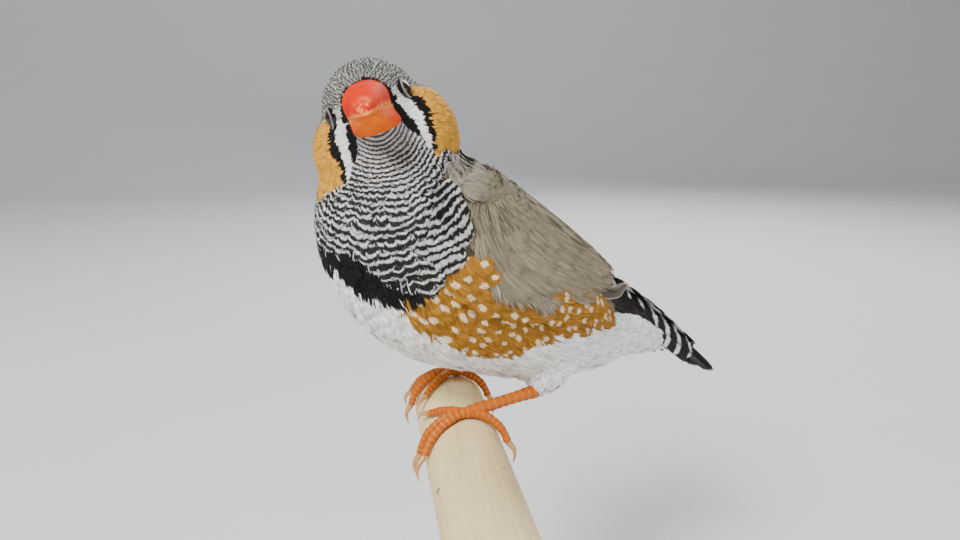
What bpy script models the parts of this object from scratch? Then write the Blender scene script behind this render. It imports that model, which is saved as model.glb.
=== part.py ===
"""A life-size zebra finch, a cock of the full-bodied show type, gripping a short wooden perch on a stand.

The bird is built in its own frame, in millimetres: forward, to its left, and up, from the point midway
between its feet on top of the perch. World turns that frame on the perch and changes it to metres. The
perch runs along Y, and the origin lies under it, at the bottom of the stand's base.
"""

import math
import random

import bmesh
import bpy
import numpy as np

MM = 0.001
GAP = 0.3                       # between pieces that touch, in millimetres

PERCH_RADIUS = 7.2
PERCH_AXIS_HEIGHT = 72.0
PERCH_FAR = 13.5                # the end just past the right foot
PERCH_NEAR = -64.0
BASE_SIZE = (96.0, 112.0, 6.0)
BASE_CENTRE = (6.0, -22.0)
BASE_EDGE = 1.0
ROD_RADIUS = 2.5
RODS = {"stand_rod_rear": 6.0, "stand_rod_front": -50.0}

PERCH_TOP = PERCH_AXIS_HEIGHT + PERCH_RADIUS
BODY_TURN = math.radians(23.0)  # from the perch's square, breast swung toward its near end

# Sections of the body from the throat to the root of the tail:
# forward, height, half depth, half width
BODY = np.array([
    (14.5, 55.0, 7.5, 7.5),
    (13.0, 49.0, 10.5, 10.5),
    (12.2, 43.0, 13.7, 13.8),
    (9.9, 35.0, 16.8, 16.5),
    (3.8, 27.1, 18.0, 17.6),
    (-7.0, 20.6, 16.7, 17.2),
    (-18.4, 14.6, 14.4, 15.4),
    (-28.5, 10.4, 11.0, 12.2),
    (-38.0, 8.6, 8.2, 9.2),
    (-46.0, 5.6, 5.6, 6.8),
    (-52.5, 2.8, 3.4, 4.6),
])
BODY_RINGS = 44
BODY_SIDES = 40
SKIN_VOXEL = 0.75
SKIN_SMOOTHING = 6
SKIN_TRIANGLES = 3200
NECK_TOP = -8.0                 # height in the head's frame of the cut under the cheeks
NECK_BASE = 2.35                # place along the body of the cut between neck and torso
RUMP_CUT = 6.6                  # and between torso and rump

# The head looks to the bird's left, its bill a little up and its crown leaning to its right.
HEAD_CENTRE = (15.1, 0.4, 52.4)
HEAD_TURN = math.radians(60.0)
HEAD_PITCH = math.radians(9.0)
HEAD_ROLL = math.radians(21.5)
# Rounded masses of the head, in its own frame: centre, then radii
HEAD_LUMPS = [
    ((-0.5, 0.0, 2.8), (10.2, 8.5, 8.6)),
    ((3.2, 0.0, 0.8), (7.6, 6.6, 6.4)),
    ((-1.6, 5.6, -3.5), (8.8, 7.2, 8.8)),
    ((-1.6, -5.6, -3.5), (8.8, 7.2, 8.8)),
    ((-1.0, 0.0, -4.5), (9.4, 8.6, 7.6)),
]
EYE_RADIUS = 2.1
EYE_CENTRE = (5.1, 5.25, 2.9)
EYE_LOOK = (0.3, 1.0, 0.05)     # the left eye's way out of the head
LID_RADIUS = 1.5
LID_THICKNESS = 0.4

# Each half of the bill: where it starts inside the head, its tip, half width and height at the base
BILL_UPPER = dict(base=6.0, tip=19.6, half_width=3.75, height=5.2, side=1.0, round=0.9, aside=0.0)
BILL_LOWER = dict(base=6.0, tip=17.6, half_width=3.85, height=3.8, side=-1.0, round=0.5, aside=0.55)
BILL_TAPER = (1.9, 0.7)         # powers that shape the way to the tip, a little fuller than a cone
BILL_BULGE = 0.35               # how much wider the bill is above its cutting edge than on it
BILL_BLUNT = 0.1                # the tip's share of the width
GAPE = 1.1                      # height of the line where the halves meet, at the base
GAPE_DROOP = 1.9                # and how far that line falls by the upper tip
NOSTRIL = (10.0, 2.4, 4.9)
NOSTRIL_RADII = (0.55, 0.5, 0.4)

WING_START = 1.95               # along the body, at the shoulder and at the tip
WING_END = 7.85
# Along the folded wing, from shoulder to tip: upper edge and lower edge (degrees from the back's
# middle line), and height over the body
WING_EDGES = np.array([
    (58.0, 79.0, 0.1),
    (28.0, 91.0, 0.2),
    (11.0, 86.0, 0.3),
    (6.0, 74.0, 0.6),
    (5.0, 57.0, 1.4),
    (8.0, 33.0, 2.7),
])
CORE_REACH = 0.64                # the core's share of the wing's length
CORE_SUNK = 0.9
CORE_TOP = (0.7, 0.45)
SHOULDER_ROUND = 0.06            # how far the shoulder's corners draw back, as a share of the wing
VANE_THICKNESS = 0.6
VANE_VARIES = 0.015
ROOT_RISE = 0.35                 # share of the rise from vane to vane that the roots take
WING_SEEDS = {"left": 7, "right": 8}
# Tiers of vanes from the lowest to the topmost, each from its lower edge's vane to its upper edge's:
# roots and tips are (along, across) on the sheet, heights those of root and tip over it, and step the
# rise from each vane to the next
WING_TIERS = [
    dict(count=5, roots=((0.46, 0.84), (0.44, 0.97)), tips=((0.84, 0.84), (1.0, 0.36)),
         half_width=1.9, heights=(0.0, 0.1), step=0.14),
    dict(count=5, roots=((0.36, 0.92), (0.34, 0.44)), tips=((0.62, 0.93), (0.83, 0.42)),
         half_width=2.4, heights=(0.2, 0.35), step=0.2),
    dict(count=3, roots=((0.34, 0.36), (0.32, 0.13)), tips=((0.84, 0.30), (0.74, 0.09)),
         half_width=2.6, heights=(0.7, 1.15), step=0.22),
    dict(count=4, roots=((0.14, 0.84), (0.16, 0.36)), tips=((0.42, 0.92), (0.47, 0.38)),
         half_width=2.8, heights=(0.0, 0.95), step=0.2),
    dict(count=2, roots=((0.18, 0.42), (0.26, 0.18)), tips=((0.50, 0.28), (0.53, 0.13)),
         half_width=2.7, heights=(0.0, 1.6), step=0.25),
]

TAIL_ROOT = (-42.0, 14.0)
TAIL_SLOPE = math.radians(33.0)
TAIL_DROOP = 0.0035             # bend in 1/mm
TAIL_LENGTH = 36.6
TAIL_FEATHERS = 10
TAIL_STEP = 0.2                 # each tail feather under the one before
TAIL_VANE = 2.5                 # half width of a tail feather
TAIL_SPREAD = 3.0               # sideways place of the outermost tips
TAIL_ROUNDING = 0.09
TAIL_SEED = 3
TAIL_CORE_WIDTH = 4.2
UNDER_COVERTS = 25.0            # reach of the undertail coverts
UNDER_DEPTH = 7.6               # their depth at the root
TAIL_COVERTS = [
    dict(count=3, reach=25.0, spread=2.9, half_width=2.4, heights=(1.2, 0.5), step=0.22),
    dict(count=3, reach=14.0, spread=3.1, half_width=2.7, heights=(1.6, 1.3), step=0.22),
    dict(count=3, reach=UNDER_COVERTS, spread=2.4, half_width=2.4, heights=(-5.4, -3.0), step=0.25),
]

FOOT_PLACES = {"left": -10.5, "right": 10.5}
ANKLES = {"left": (-11.6, 9.8, 2.0), "right": (-15.5, -9.6, 0.4)}
THIGH_TOPS = {"left": (-17.4, 8.6, 8.0), "right": (-18.4, -8.6, 7.6)}
THIGH_RADIUS = 5.0
THIGH_OVER = 0.6                # how far the thigh's feathers reach past the ankle
TARSUS_RADIUS = 1.15
TOE_RADIUS = 1.0
# Toes: arc round the perch in degrees (first, last), sideways run toward the perch's near end in
# millimetres for the left foot, then the toe's thickness against the middle toe's
TOES = {
    "middle": (4.0, -80.0, -0.6, 1.0),
    "inner": (0.0, -44.0, 6.2, 0.92),
    "outer": (2.0, -70.0, -4.6, 0.92),
    "hind": (8.0, 73.0, -0.4, 1.0),
}
CLAW_LENGTH = 4.2

COLOURS = {
    "grey_plumage": ((0.42, 0.40, 0.38), 0.8, 0.0),
    "throat": ((0.50, 0.50, 0.50), 0.8, 0.0),
    "body": ((0.66, 0.50, 0.32), 0.8, 0.0),
    "white_plumage": ((0.85, 0.84, 0.81), 0.8, 0.0),
    "wing": ((0.36, 0.31, 0.26), 0.7, 0.0),
    "tail": ((0.04, 0.035, 0.035), 0.6, 0.0),
    "bill_red": ((0.78, 0.10, 0.05), 0.35, 0.0),
    "bill_orange": ((0.85, 0.26, 0.04), 0.35, 0.0),
    "leg": ((0.78, 0.24, 0.07), 0.5, 0.0),
    "claw": ((0.62, 0.50, 0.36), 0.4, 0.0),
    "eye": ((0.03, 0.01, 0.01), 0.05, 0.0),
    "wood": ((0.68, 0.58, 0.42), 0.6, 0.0),
    "base": ((0.72, 0.70, 0.66), 0.5, 0.0),
    "rod": ((0.55, 0.56, 0.57), 0.3, 1.0),
}


def clear_scene():
    for obj in list(bpy.data.objects):
        bpy.data.objects.remove(obj, do_unlink=True)


def material(name):
    if name in bpy.data.materials:
        return bpy.data.materials[name]
    colour, roughness, metallic = COLOURS[name]
    made = bpy.data.materials.new(name)
    made.use_nodes = True
    shader = made.node_tree.nodes["Principled BSDF"]
    shader.inputs["Base Color"].default_value = (*colour, 1.0)
    shader.inputs["Roughness"].default_value = roughness
    shader.inputs["Metallic"].default_value = metallic
    made.diffuse_color = (*colour, 1.0)
    return made


FORWARD = np.array((-math.cos(BODY_TURN), -math.sin(BODY_TURN), 0.0))
LEFT = np.array((math.sin(BODY_TURN), -math.cos(BODY_TURN), 0.0))
UP = np.array((0.0, 0.0, 1.0))


def world(points):
    """Points of the bird's own frame, in metres in the world."""
    points = np.atleast_2d(np.asarray(points, float))
    turned = points[:, :1] * FORWARD + points[:, 1:2] * LEFT + points[:, 2:3] * UP
    return (turned + UP * PERCH_TOP) * MM


def head_axes():
    turn, pitch, roll = HEAD_TURN, HEAD_PITCH, HEAD_ROLL
    about_up = np.array([
        (math.cos(turn), -math.sin(turn), 0.0), (math.sin(turn), math.cos(turn), 0.0), (0.0, 0.0, 1.0)
    ])
    about_left = np.array([
        (math.cos(pitch), 0.0, -math.sin(pitch)), (0.0, 1.0, 0.0), (math.sin(pitch), 0.0, math.cos(pitch))
    ])
    about_forward = np.array([
        (1.0, 0.0, 0.0), (0.0, math.cos(roll), -math.sin(roll)), (0.0, math.sin(roll), math.cos(roll))
    ])
    return about_up @ about_left @ about_forward


HEAD_AXES = head_axes()


def head_point(points):
    """Points of the head's frame in the bird's own."""
    return np.atleast_2d(np.asarray(points, float)) @ HEAD_AXES.T + np.array(HEAD_CENTRE)


def spline(rows, place):
    """A smooth curve through the rows, at a place counted in rows."""
    rows = np.asarray(rows, float)
    place = np.clip(np.asarray(place, float), 0.0, len(rows) - 1.0)
    index = np.minimum(place.astype(int), len(rows) - 2)
    part = (place - index)[..., None]
    ends = np.vstack([2 * rows[0] - rows[1], rows, 2 * rows[-1] - rows[-2]])
    a, b, c, d = (ends[index + k] for k in range(4))
    return 0.5 * (
        2 * b + (c - a) * part + (2 * a - 5 * b + 4 * c - d) * part**2 + (3 * b - a - 3 * c + d) * part**3
    )


def body_point(place, angle, height):
    """A point over the body: place counted in sections, angle from the back's middle toward the left."""
    place = np.asarray(place, float)
    row = spline(BODY, place)
    step = 0.05
    along = spline(BODY, place + step)[..., :2] - spline(BODY, place - step)[..., :2]
    along = along / np.linalg.norm(along, axis=-1, keepdims=True)
    dorsal = np.stack([along[..., 1], -along[..., 0]], axis=-1)
    deep = (row[..., 2] + height) * np.cos(angle)
    wide = (row[..., 3] + height) * np.sin(angle)
    return np.stack([
        row[..., 0] + dorsal[..., 0] * deep,
        wide,
        row[..., 1] + dorsal[..., 1] * deep,
    ], axis=-1)


def node(name, points, faces, look):
    """An object made from points of the world, in metres."""
    mesh = bpy.data.meshes.new(name)
    mesh.from_pydata([tuple(p) for p in points], [], [tuple(f) for f in faces])
    mesh.materials.append(material(look))
    obj = bpy.data.objects.new(name, mesh)
    bpy.context.scene.collection.objects.link(obj)
    return obj


def outward(obj):
    work = bmesh.new()
    work.from_mesh(obj.data)
    bmesh.ops.recalc_face_normals(work, faces=work.faces)
    if work.calc_volume(signed=True) < 0:
        bmesh.ops.reverse_faces(work, faces=work.faces)
    work.to_mesh(obj.data)
    work.free()
    return obj


def loft(rings):
    """Points and faces of a closed body through rings of as many points each."""
    rings = np.asarray(rings, float)
    count, sides = rings.shape[:2]
    points = [p for ring in rings for p in ring]
    faces = []
    for i in range(count - 1):
        for j in range(sides):
            k = (j + 1) % sides
            a, b = i * sides + j, i * sides + k
            c, d = (i + 1) * sides + k, (i + 1) * sides + j
            faces += [(a, b, c), (a, c, d)]
    for ring, flip in ((0, True), (count - 1, False)):
        points.append(rings[ring].mean(axis=0))
        middle = len(points) - 1
        for j in range(sides):
            a, b = ring * sides + j, ring * sides + (j + 1) % sides
            faces.append((b, a, middle) if flip else (a, b, middle))
    return points, faces


def ball(centre, radii, turn, rows=14, sides=20):
    """A closed ellipsoid; turn changes its points to the bird's frame."""
    rings = []
    for i in range(1, rows):
        lift = math.pi * i / rows
        ring = [
            (
                centre[0] + radii[0] * math.cos(lift),
                centre[1] + radii[1] * math.sin(lift) * math.cos(2 * math.pi * j / sides),
                centre[2] + radii[2] * math.sin(lift) * math.sin(2 * math.pi * j / sides),
            )
            for j in range(sides)
        ]
        rings.append(turn(ring))
    return loft(rings)


def evaluated_mesh(obj):
    graph = bpy.context.evaluated_depsgraph_get()
    return bpy.data.meshes.new_from_object(obj.evaluated_get(graph))


def apply_modifiers(obj):
    made = evaluated_mesh(obj)
    obj.modifiers.clear()
    obj.data = made
    return obj


def keep_largest(obj):
    """Leaves only the largest closed surface."""
    work = bmesh.new()
    work.from_mesh(obj.data)
    seen = set()
    parts = []
    for start in work.faces:
        if start in seen:
            continue
        part = [start]
        seen.add(start)
        for face in part:
            for edge in face.edges:
                for other in edge.link_faces:
                    if other not in seen:
                        seen.add(other)
                        part.append(other)
        parts.append(part)
    parts.sort(key=len, reverse=True)
    for part in parts[1:]:
        bmesh.ops.delete(work, geom=part, context="FACES")
    work.to_mesh(obj.data)
    work.free()
    return obj


def fuse(name, pieces, look):
    """One closed body from overlapping closed pieces, each given as points and faces."""
    group = bpy.data.collections.new(name + "_pieces")
    made = [
        outward(node(f"{name}_piece_{i}", points, faces, look)) for i, (points, faces) in enumerate(pieces)
    ]
    for obj in made[1:]:
        bpy.context.scene.collection.objects.unlink(obj)
        group.objects.link(obj)
    body = made[0]
    body.name = name
    union = body.modifiers.new("Union", "BOOLEAN")
    union.operation = "UNION"
    union.solver = "EXACT"
    union.operand_type = "COLLECTION"
    union.collection = group
    apply_modifiers(body)
    for obj in made[1:]:
        bpy.data.objects.remove(obj, do_unlink=True)
    bpy.data.collections.remove(group)
    return keep_largest(body)


def cut(obj, cutter):
    """Takes the cutter's shape out of the object."""
    difference = obj.modifiers.new("Cut", "BOOLEAN")
    difference.operation = "DIFFERENCE"
    difference.solver = "EXACT"
    difference.object = cutter
    apply_modifiers(obj)
    return keep_largest(obj)


def remove(*objects):
    for obj in objects:
        bpy.data.objects.remove(obj, do_unlink=True)


def grown(obj, by):
    """A copy of the object, larger by this many millimetres all round."""
    copy = obj.copy()
    copy.data = obj.data.copy()
    bpy.context.scene.collection.objects.link(copy)
    normals = [vert.normal.copy() for vert in copy.data.vertices]
    for vert, normal in zip(copy.data.vertices, normals):
        vert.co = vert.co + normal * by * MM
    return copy


def whole_skin():
    """Head, neck, torso and rump as one smooth closed body."""
    places = np.linspace(0.0, len(BODY) - 1.0, BODY_RINGS)
    angles = np.linspace(0.0, 2 * math.pi, BODY_SIDES, endpoint=False)
    rings = [body_point(np.full(BODY_SIDES, place), angles, 0.0) for place in places]
    pieces = [loft(rings)]
    for centre, radii in HEAD_LUMPS:
        pieces.append(ball(centre, radii, head_point))
    points, faces = [], []
    for part_points, part_faces in pieces:
        first = len(points)
        points += list(world(part_points))
        faces += [tuple(first + k for k in face) for face in part_faces]
    skin = node("skin", points, faces, "body")
    remesh = skin.modifiers.new("Remesh", "REMESH")
    remesh.mode = "VOXEL"
    remesh.voxel_size = SKIN_VOXEL * MM
    smooth = skin.modifiers.new("Smooth", "SMOOTH")
    smooth.factor = 0.5
    smooth.iterations = SKIN_SMOOTHING
    apply_modifiers(skin)
    keep_largest(skin)
    thin = skin.modifiers.new("Decimate", "DECIMATE")
    thin.ratio = min(1.0, SKIN_TRIANGLES / (2.0 * len(skin.data.polygons)))
    apply_modifiers(skin)
    return outward(keep_largest(skin))


def plane_along_body(place):
    """A cut across the body: a point of it and the way to the tail, in the bird's frame."""
    row = spline(BODY, place)
    ahead = spline(BODY, place + 0.1) - spline(BODY, place - 0.1)
    along = np.array((ahead[0], 0.0, ahead[1]))
    return np.array((row[0], 0.0, row[1])), along / np.linalg.norm(along)


def plane_under_head():
    return head_point((0.0, 0.0, NECK_TOP))[0], -HEAD_AXES[:, 2]


def stretch(skin, name, after, before, look):
    """The stretch of the skin after some cuts and before others, each a point and the way to the tail."""
    obj = skin.copy()
    obj.data = skin.data.copy()
    obj.name = name
    bpy.context.scene.collection.objects.link(obj)
    obj.data.materials.clear()
    obj.data.materials.append(material(look))
    work = bmesh.new()
    work.from_mesh(obj.data)
    cuts = [(plane, 1.0) for plane in after] + [(plane, -1.0) for plane in before]
    for (point, along), side in cuts:
        place = world(point + along * side * GAP / 2)[0]
        normal = (world(along) - world((0.0, 0.0, 0.0)))[0] / MM * side
        bmesh.ops.bisect_plane(
            work,
            geom=work.verts[:] + work.edges[:] + work.faces[:],
            dist=1e-7,
            plane_co=place,
            plane_no=normal,
            clear_inner=True,
        )
        rim = [edge for edge in work.edges if edge.is_boundary]
        bmesh.ops.holes_fill(work, edges=rim, sides=0)
    bmesh.ops.triangulate(work, faces=[face for face in work.faces if len(face.verts) > 3])
    work.to_mesh(obj.data)
    work.free()
    return outward(keep_largest(obj))


def vane(surface, root, tip, half_width, heights, blunt=0.35):
    """One feather's vane over a surface that gives the point at (along, across, height).

    Root and tip are (along, across), heights are those at the root and at the tip, and blunt is the
    tip's share of the width.
    """
    places = np.array([0.0, 0.22, 0.48, 0.72, 0.9, 1.0])
    widths = half_width * np.array([0.55, 0.85, 1.0, 0.97, 0.72, blunt])
    depths = VANE_THICKNESS * np.array([1.0, 1.0, 1.0, 1.0, 0.9, 0.7])
    along = root[0] + (tip[0] - root[0]) * places
    across = root[1] + (tip[1] - root[1]) * places
    height = heights[0] + (heights[1] - heights[0]) * places
    middle = surface(along, across, height)
    above = surface(along, across, height + 1.0) - middle
    above /= np.linalg.norm(above, axis=1, keepdims=True)
    run = np.gradient(middle, axis=0)
    run /= np.linalg.norm(run, axis=1, keepdims=True)
    side = np.cross(above, run)
    side /= np.linalg.norm(side, axis=1, keepdims=True)
    above = np.cross(run, side)
    rings = []
    for i in range(len(places)):
        edge = side[i] * widths[i]
        lift = above[i] * depths[i] / 2
        rings.append([
            middle[i] - edge - lift,
            middle[i] + edge - lift,
            middle[i] + edge + lift,
            middle[i] - edge + lift,
        ])
    return prism(np.array(rings))


def prism(rings):
    """A thin vane from rings of four corners, its two faces split alike."""
    count = len(rings)
    points = [p for ring in rings for p in ring]
    faces = []
    for i in range(count - 1):
        a, b = 4 * i, 4 * (i + 1)
        faces += [
            (a, a + 1, b + 1), (a, b + 1, b),
            (a + 1, a + 2, b + 2), (a + 1, b + 2, b + 1),
            (a + 2, b + 3, b + 2), (a + 2, a + 3, b + 3),
            (a + 3, a, b), (a + 3, b, b + 3),
        ]
    last = 4 * (count - 1)
    faces += [(0, 2, 1), (0, 3, 2), (last, last + 1, last + 2), (last, last + 2, last + 3)]
    return points, faces


def slab(surface, alongs, acrosses, low, high):
    """A closed plate over a surface, between two heights; each argument may vary along it."""
    na, nb = len(alongs), len(acrosses)
    grid_a, grid_b = np.meshgrid(alongs, acrosses, indexing="ij")
    bottom = surface(grid_a.ravel(), grid_b.ravel(), np.repeat(low, nb))
    top = surface(grid_a.ravel(), grid_b.ravel(), np.repeat(high, nb))
    points = list(bottom) + list(top)
    shift = na * nb
    faces = []
    for i in range(na - 1):
        for j in range(nb - 1):
            a, b = i * nb + j, (i + 1) * nb + j
            faces += [(a, a + 1, b + 1), (a, b + 1, b)]
            faces += [(shift + a, shift + b + 1, shift + a + 1), (shift + a, shift + b, shift + b + 1)]
    rim = [i * nb for i in range(na)] + [(na - 1) * nb + j for j in range(1, nb)]
    rim += [i * nb + nb - 1 for i in range(na - 2, -1, -1)] + [j for j in range(nb - 2, 0, -1)]
    for a, b in zip(rim, rim[1:] + rim[:1]):
        faces += [(a, b, shift + b), (a, shift + b, shift + a)]
    return points, faces


def wing_surface(side):
    """The folded wing's sheet: along from shoulder to tip, across from upper to lower edge, and height."""
    def surface(along, across, height):
        along = np.asarray(along, float)
        row = spline(WING_EDGES, np.clip(along, 0.0, 1.06) * (len(WING_EDGES) - 1))
        angle = np.radians(row[..., 0] + (row[..., 1] - row[..., 0]) * across)
        place = WING_START + (WING_END - WING_START) * along
        point = body_point(place, angle, row[..., 2] + height)
        return point * np.array((1.0, side, 1.0))
    return surface


def wing(side_name, skin):
    """The folded wing: a core under tiers of overlapping vanes, the upper ones over the lower."""
    side = 1.0 if side_name == "left" else -1.0
    surface = wing_surface(side)
    chance = random.Random(WING_SEEDS[side_name])
    stations = 8

    def shoulder(along, across, height):
        back = SHOULDER_ROUND * (2.0 * across - 1.0) ** 2 * (1.0 - along / CORE_REACH)
        return surface(along + back, across, height)

    core = slab(
        shoulder, np.linspace(0.0, CORE_REACH, stations), np.linspace(0.0, 1.0, 5),
        np.full(stations, -CORE_SUNK), np.linspace(*CORE_TOP, stations),
    )
    pieces = [core]
    for tier in WING_TIERS:
        for i in range(tier["count"]):
            part = i / (tier["count"] - 1)
            root, tip = (
                tuple(a + (b - a) * part for a, b in zip(*tier[end])) for end in ("roots", "tips")
            )
            reach = 1.0 + chance.uniform(-VANE_VARIES, VANE_VARIES)
            tip = (root[0] + (tip[0] - root[0]) * reach, tip[1])
            rise = tier["step"] * i
            pieces.append(vane(
                surface, root, tip, tier["half_width"],
                (tier["heights"][0] + rise * ROOT_RISE, tier["heights"][1] + rise),
            ))
    obj = fuse("wing_" + side_name, [(world(points), faces) for points, faces in pieces], "wing")
    cutter = grown(skin, GAP)
    cut(obj, cutter)
    remove(cutter)
    return obj


def tail_surface(along, across, height):
    """The tail's sheet in millimetres: along from its root, across to the left, and height."""
    along = np.asarray(along, float)
    across = np.asarray(across, float)
    slope = TAIL_SLOPE + TAIL_DROOP * along / 2
    sag = 0.03 * across**2
    x = TAIL_ROOT[0] - along * np.cos(slope) - (height - sag) * np.sin(slope)
    z = TAIL_ROOT[1] - along * np.sin(slope) + (height - sag) * np.cos(slope)
    return np.stack([x, across + 0.0 * x, z], axis=-1)


def tail(skin):
    """The closed tail: vanes in pairs, the middle pair on top, with tiers of coverts over and under."""
    chance = random.Random(TAIL_SEED)
    pairs = TAIL_FEATHERS // 2
    stations = 6
    core = slab(
        tail_surface, np.linspace(-3.0, UNDER_COVERTS * 0.8, stations),
        np.linspace(-TAIL_CORE_WIDTH, TAIL_CORE_WIDTH, 5),
        np.linspace(-UNDER_DEPTH, -1.6, stations), np.linspace(0.9, 0.0, stations),
    )
    pieces = [core]
    for i in range(pairs):
        out = i / (pairs - 1)
        for side in (1.0, -1.0):
            level = -TAIL_STEP * (2 * i + (1 if side < 0 else 0))
            length = TAIL_LENGTH * (1.0 - TAIL_ROUNDING * out**2) + chance.uniform(-0.4, 0.4)
            root = side * (0.9 + 1.4 * out)
            tip = side * (1.2 + (TAIL_SPREAD - 1.2) * out)
            pieces.append(vane(
                tail_surface, (0.0, root), (length, tip), TAIL_VANE, (level, level), blunt=0.4,
            ))
    for tier in TAIL_COVERTS:
        for i in range(tier["count"]):
            out = -1.0 + 2.0 * i / (tier["count"] - 1)
            reach = tier["reach"] * (1.0 - 0.10 * out * out) + chance.uniform(-0.3, 0.3)
            root, end = (height + tier["step"] * i for height in tier["heights"])
            pieces.append(vane(
                tail_surface, (-6.0, tier["spread"] * 0.8 * out), (reach, tier["spread"] * out),
                tier["half_width"], (root, end),
            ))
    obj = fuse("tail", [(world(points), faces) for points, faces in pieces], "tail")
    cutter = grown(skin, GAP)
    cut(obj, cutter)
    remove(cutter)
    return obj


def tube(path, radii, sides=8):
    """Rings of a round body along a path, in the path's own frame."""
    path = np.asarray(path, float)
    run = np.gradient(path, axis=0)
    run /= np.linalg.norm(run, axis=1, keepdims=True)
    aside = np.cross(run[0], (0.0, 0.0, 1.0))
    if np.linalg.norm(aside) < 0.1:
        aside = np.cross(run[0], (0.0, 1.0, 0.0))
    rings = []
    for place, way, radius in zip(path, run, radii):
        aside = aside - way * (aside @ way)
        aside /= np.linalg.norm(aside)
        over = np.cross(way, aside)
        rings.append([
            place + radius * (math.cos(a) * aside + math.sin(a) * over)
            for a in np.linspace(0.0, 2 * math.pi, sides, endpoint=False)
        ])
    return rings


def on_perch(angle, along, height):
    """A point over the perch: angle from its top toward +X, place along Y, height over its surface."""
    reach = PERCH_RADIUS + height
    return np.array((reach * math.sin(angle), along, reach * math.cos(angle) - PERCH_RADIUS))


def toe_path(side_name, toe, steps=9):
    first, last, sideways, thick = TOES[toe]
    sign = 1.0 if side_name == "left" else -1.0
    radius = TOE_RADIUS * thick
    path, radii = [], []
    for i in range(steps):
        part = i / (steps - 1)
        angle = math.radians(first + (last - first) * part)
        along = FOOT_PLACES[side_name] + sign * sideways * part
        path.append(on_perch(angle, along, GAP + radius * (1.0 - 0.25 * part) + 0.02))
        knuckle = 1.0 + 0.06 * math.cos(part * 6.0 * math.pi)
        radii.append(radius * (1.0 - 0.25 * part) * knuckle * 0.94)
    return path, radii


def ankle_of(side_name):
    """The ankle in millimetres over the perch's top, in world directions."""
    return (world(ANKLES[side_name])[0] / MM) - UP * PERCH_TOP


def raised(points):
    """Points over the perch's top in world directions, in metres."""
    return (np.asarray(points, float) + UP * PERCH_TOP) * MM


def leg(side_name):
    """Toes, pad and tarsus of one foot as one body, and its four claws."""
    pieces = []
    for toe in TOES:
        path, radii = toe_path(side_name, toe)
        points, faces = loft(tube(path, radii))
        pieces.append((raised(points), faces))
    foot = on_perch(math.radians(4.0), FOOT_PLACES[side_name], GAP + TOE_RADIUS)
    ankle = ankle_of(side_name)
    path = [foot + (ankle - foot) * part for part in np.linspace(-0.03, 1.0, 7)]
    radii = TARSUS_RADIUS * np.array([0.95, 1.12, 1.0, 0.95, 0.95, 1.05, 1.2])
    points, faces = loft(tube(path, radii))
    pieces.insert(0, (raised(points), faces))
    obj = fuse("foot_" + side_name, pieces, "leg")
    for toe in TOES:
        claw(side_name, toe)
    return obj


def claw(side_name, toe):
    """A curved claw that starts a gap past its toe's end and bends down beside the perch."""
    path, radii = toe_path(side_name, toe)
    end = path[-1]
    way = path[-1] - path[-2]
    way /= np.linalg.norm(way)
    outward_way = np.array((end[0], 0.0, end[2] + PERCH_RADIUS))
    outward_way /= np.linalg.norm(outward_way)
    steps = 6
    points = []
    for i in range(steps):
        part = i / (steps - 1)
        bend = 0.55 * math.sin(math.pi * part) - 0.75 * part**2
        points.append(
            end + way * (GAP + CLAW_LENGTH * part) + outward_way * (0.55 * bend * 2.0 + 0.35 * part)
        )
    thick = radii[-1] * np.array([0.78, 0.74, 0.62, 0.46, 0.28, 0.12])
    made, faces = loft(tube(points, thick, sides=7))
    obj = node(f"claw_{side_name}_{toe}", raised(made), faces, "claw")
    return outward(obj)


def thigh(side_name, skin, foot):
    """The feathered thigh, from the belly down over the ankle."""
    top = np.array(THIGH_TOPS[side_name])
    ankle = np.array(ANKLES[side_name])
    way = (ankle - top) / np.linalg.norm(ankle - top)
    end = ankle + way * THIGH_OVER
    path = [top + (end - top) * part for part in np.linspace(0.0, 1.0, 8)]
    radii = THIGH_RADIUS * np.array([0.9, 1.0, 1.0, 0.95, 0.86, 0.74, 0.58, 0.36])
    points, faces = loft(tube(path, radii, sides=14))
    obj = outward(node("thigh_" + side_name, world(points), faces, "white_plumage"))
    for neighbour in (skin, foot):
        cutter = grown(neighbour, GAP)
        cut(obj, cutter)
        remove(cutter)
    return obj


def mandible(shape):
    """A half of the bill: domed on its outer side, nearly flat where the two meet."""
    steps, sides = 9, 12
    rings = []
    for i in range(steps):
        part = i / (steps - 1)
        place = shape["base"] + (shape["tip"] - shape["base"]) * part
        run = (place - BILL_UPPER["base"]) / (BILL_UPPER["tip"] - BILL_UPPER["base"])
        taper = max(BILL_BLUNT, (1.0 - part ** BILL_TAPER[0]) ** BILL_TAPER[1])
        meet = GAPE - GAPE_DROOP * run**2 + shape["side"] * GAP / 2
        ring = []
        for j in range(sides):
            angle = 2 * math.pi * j / sides
            rise = max(0.0, math.sin(angle))
            ring.append((
                place,
                shape["half_width"] * taper * math.cos(angle) * (1.0 + BILL_BULGE * rise)
                + shape["aside"] * rise,
                meet + shape["side"] * rise ** shape["round"] * shape["height"] * (0.10 + 0.90 * taper),
            ))
        rings.append(ring)
    return flat_sided(rings)


def flat_sided(rings):
    """A closed body from rings whose lower half lies along a line: those points are left out."""
    kept = [[point for j, point in enumerate(ring) if j <= len(ring) // 2] for ring in rings]
    return loft([head_point(ring) for ring in kept])


def join(obj, other):
    """Joins another closed body to the object."""
    union = obj.modifiers.new("Join", "BOOLEAN")
    union.operation = "UNION"
    union.solver = "EXACT"
    union.object = other
    apply_modifiers(obj)
    remove(other)


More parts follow.
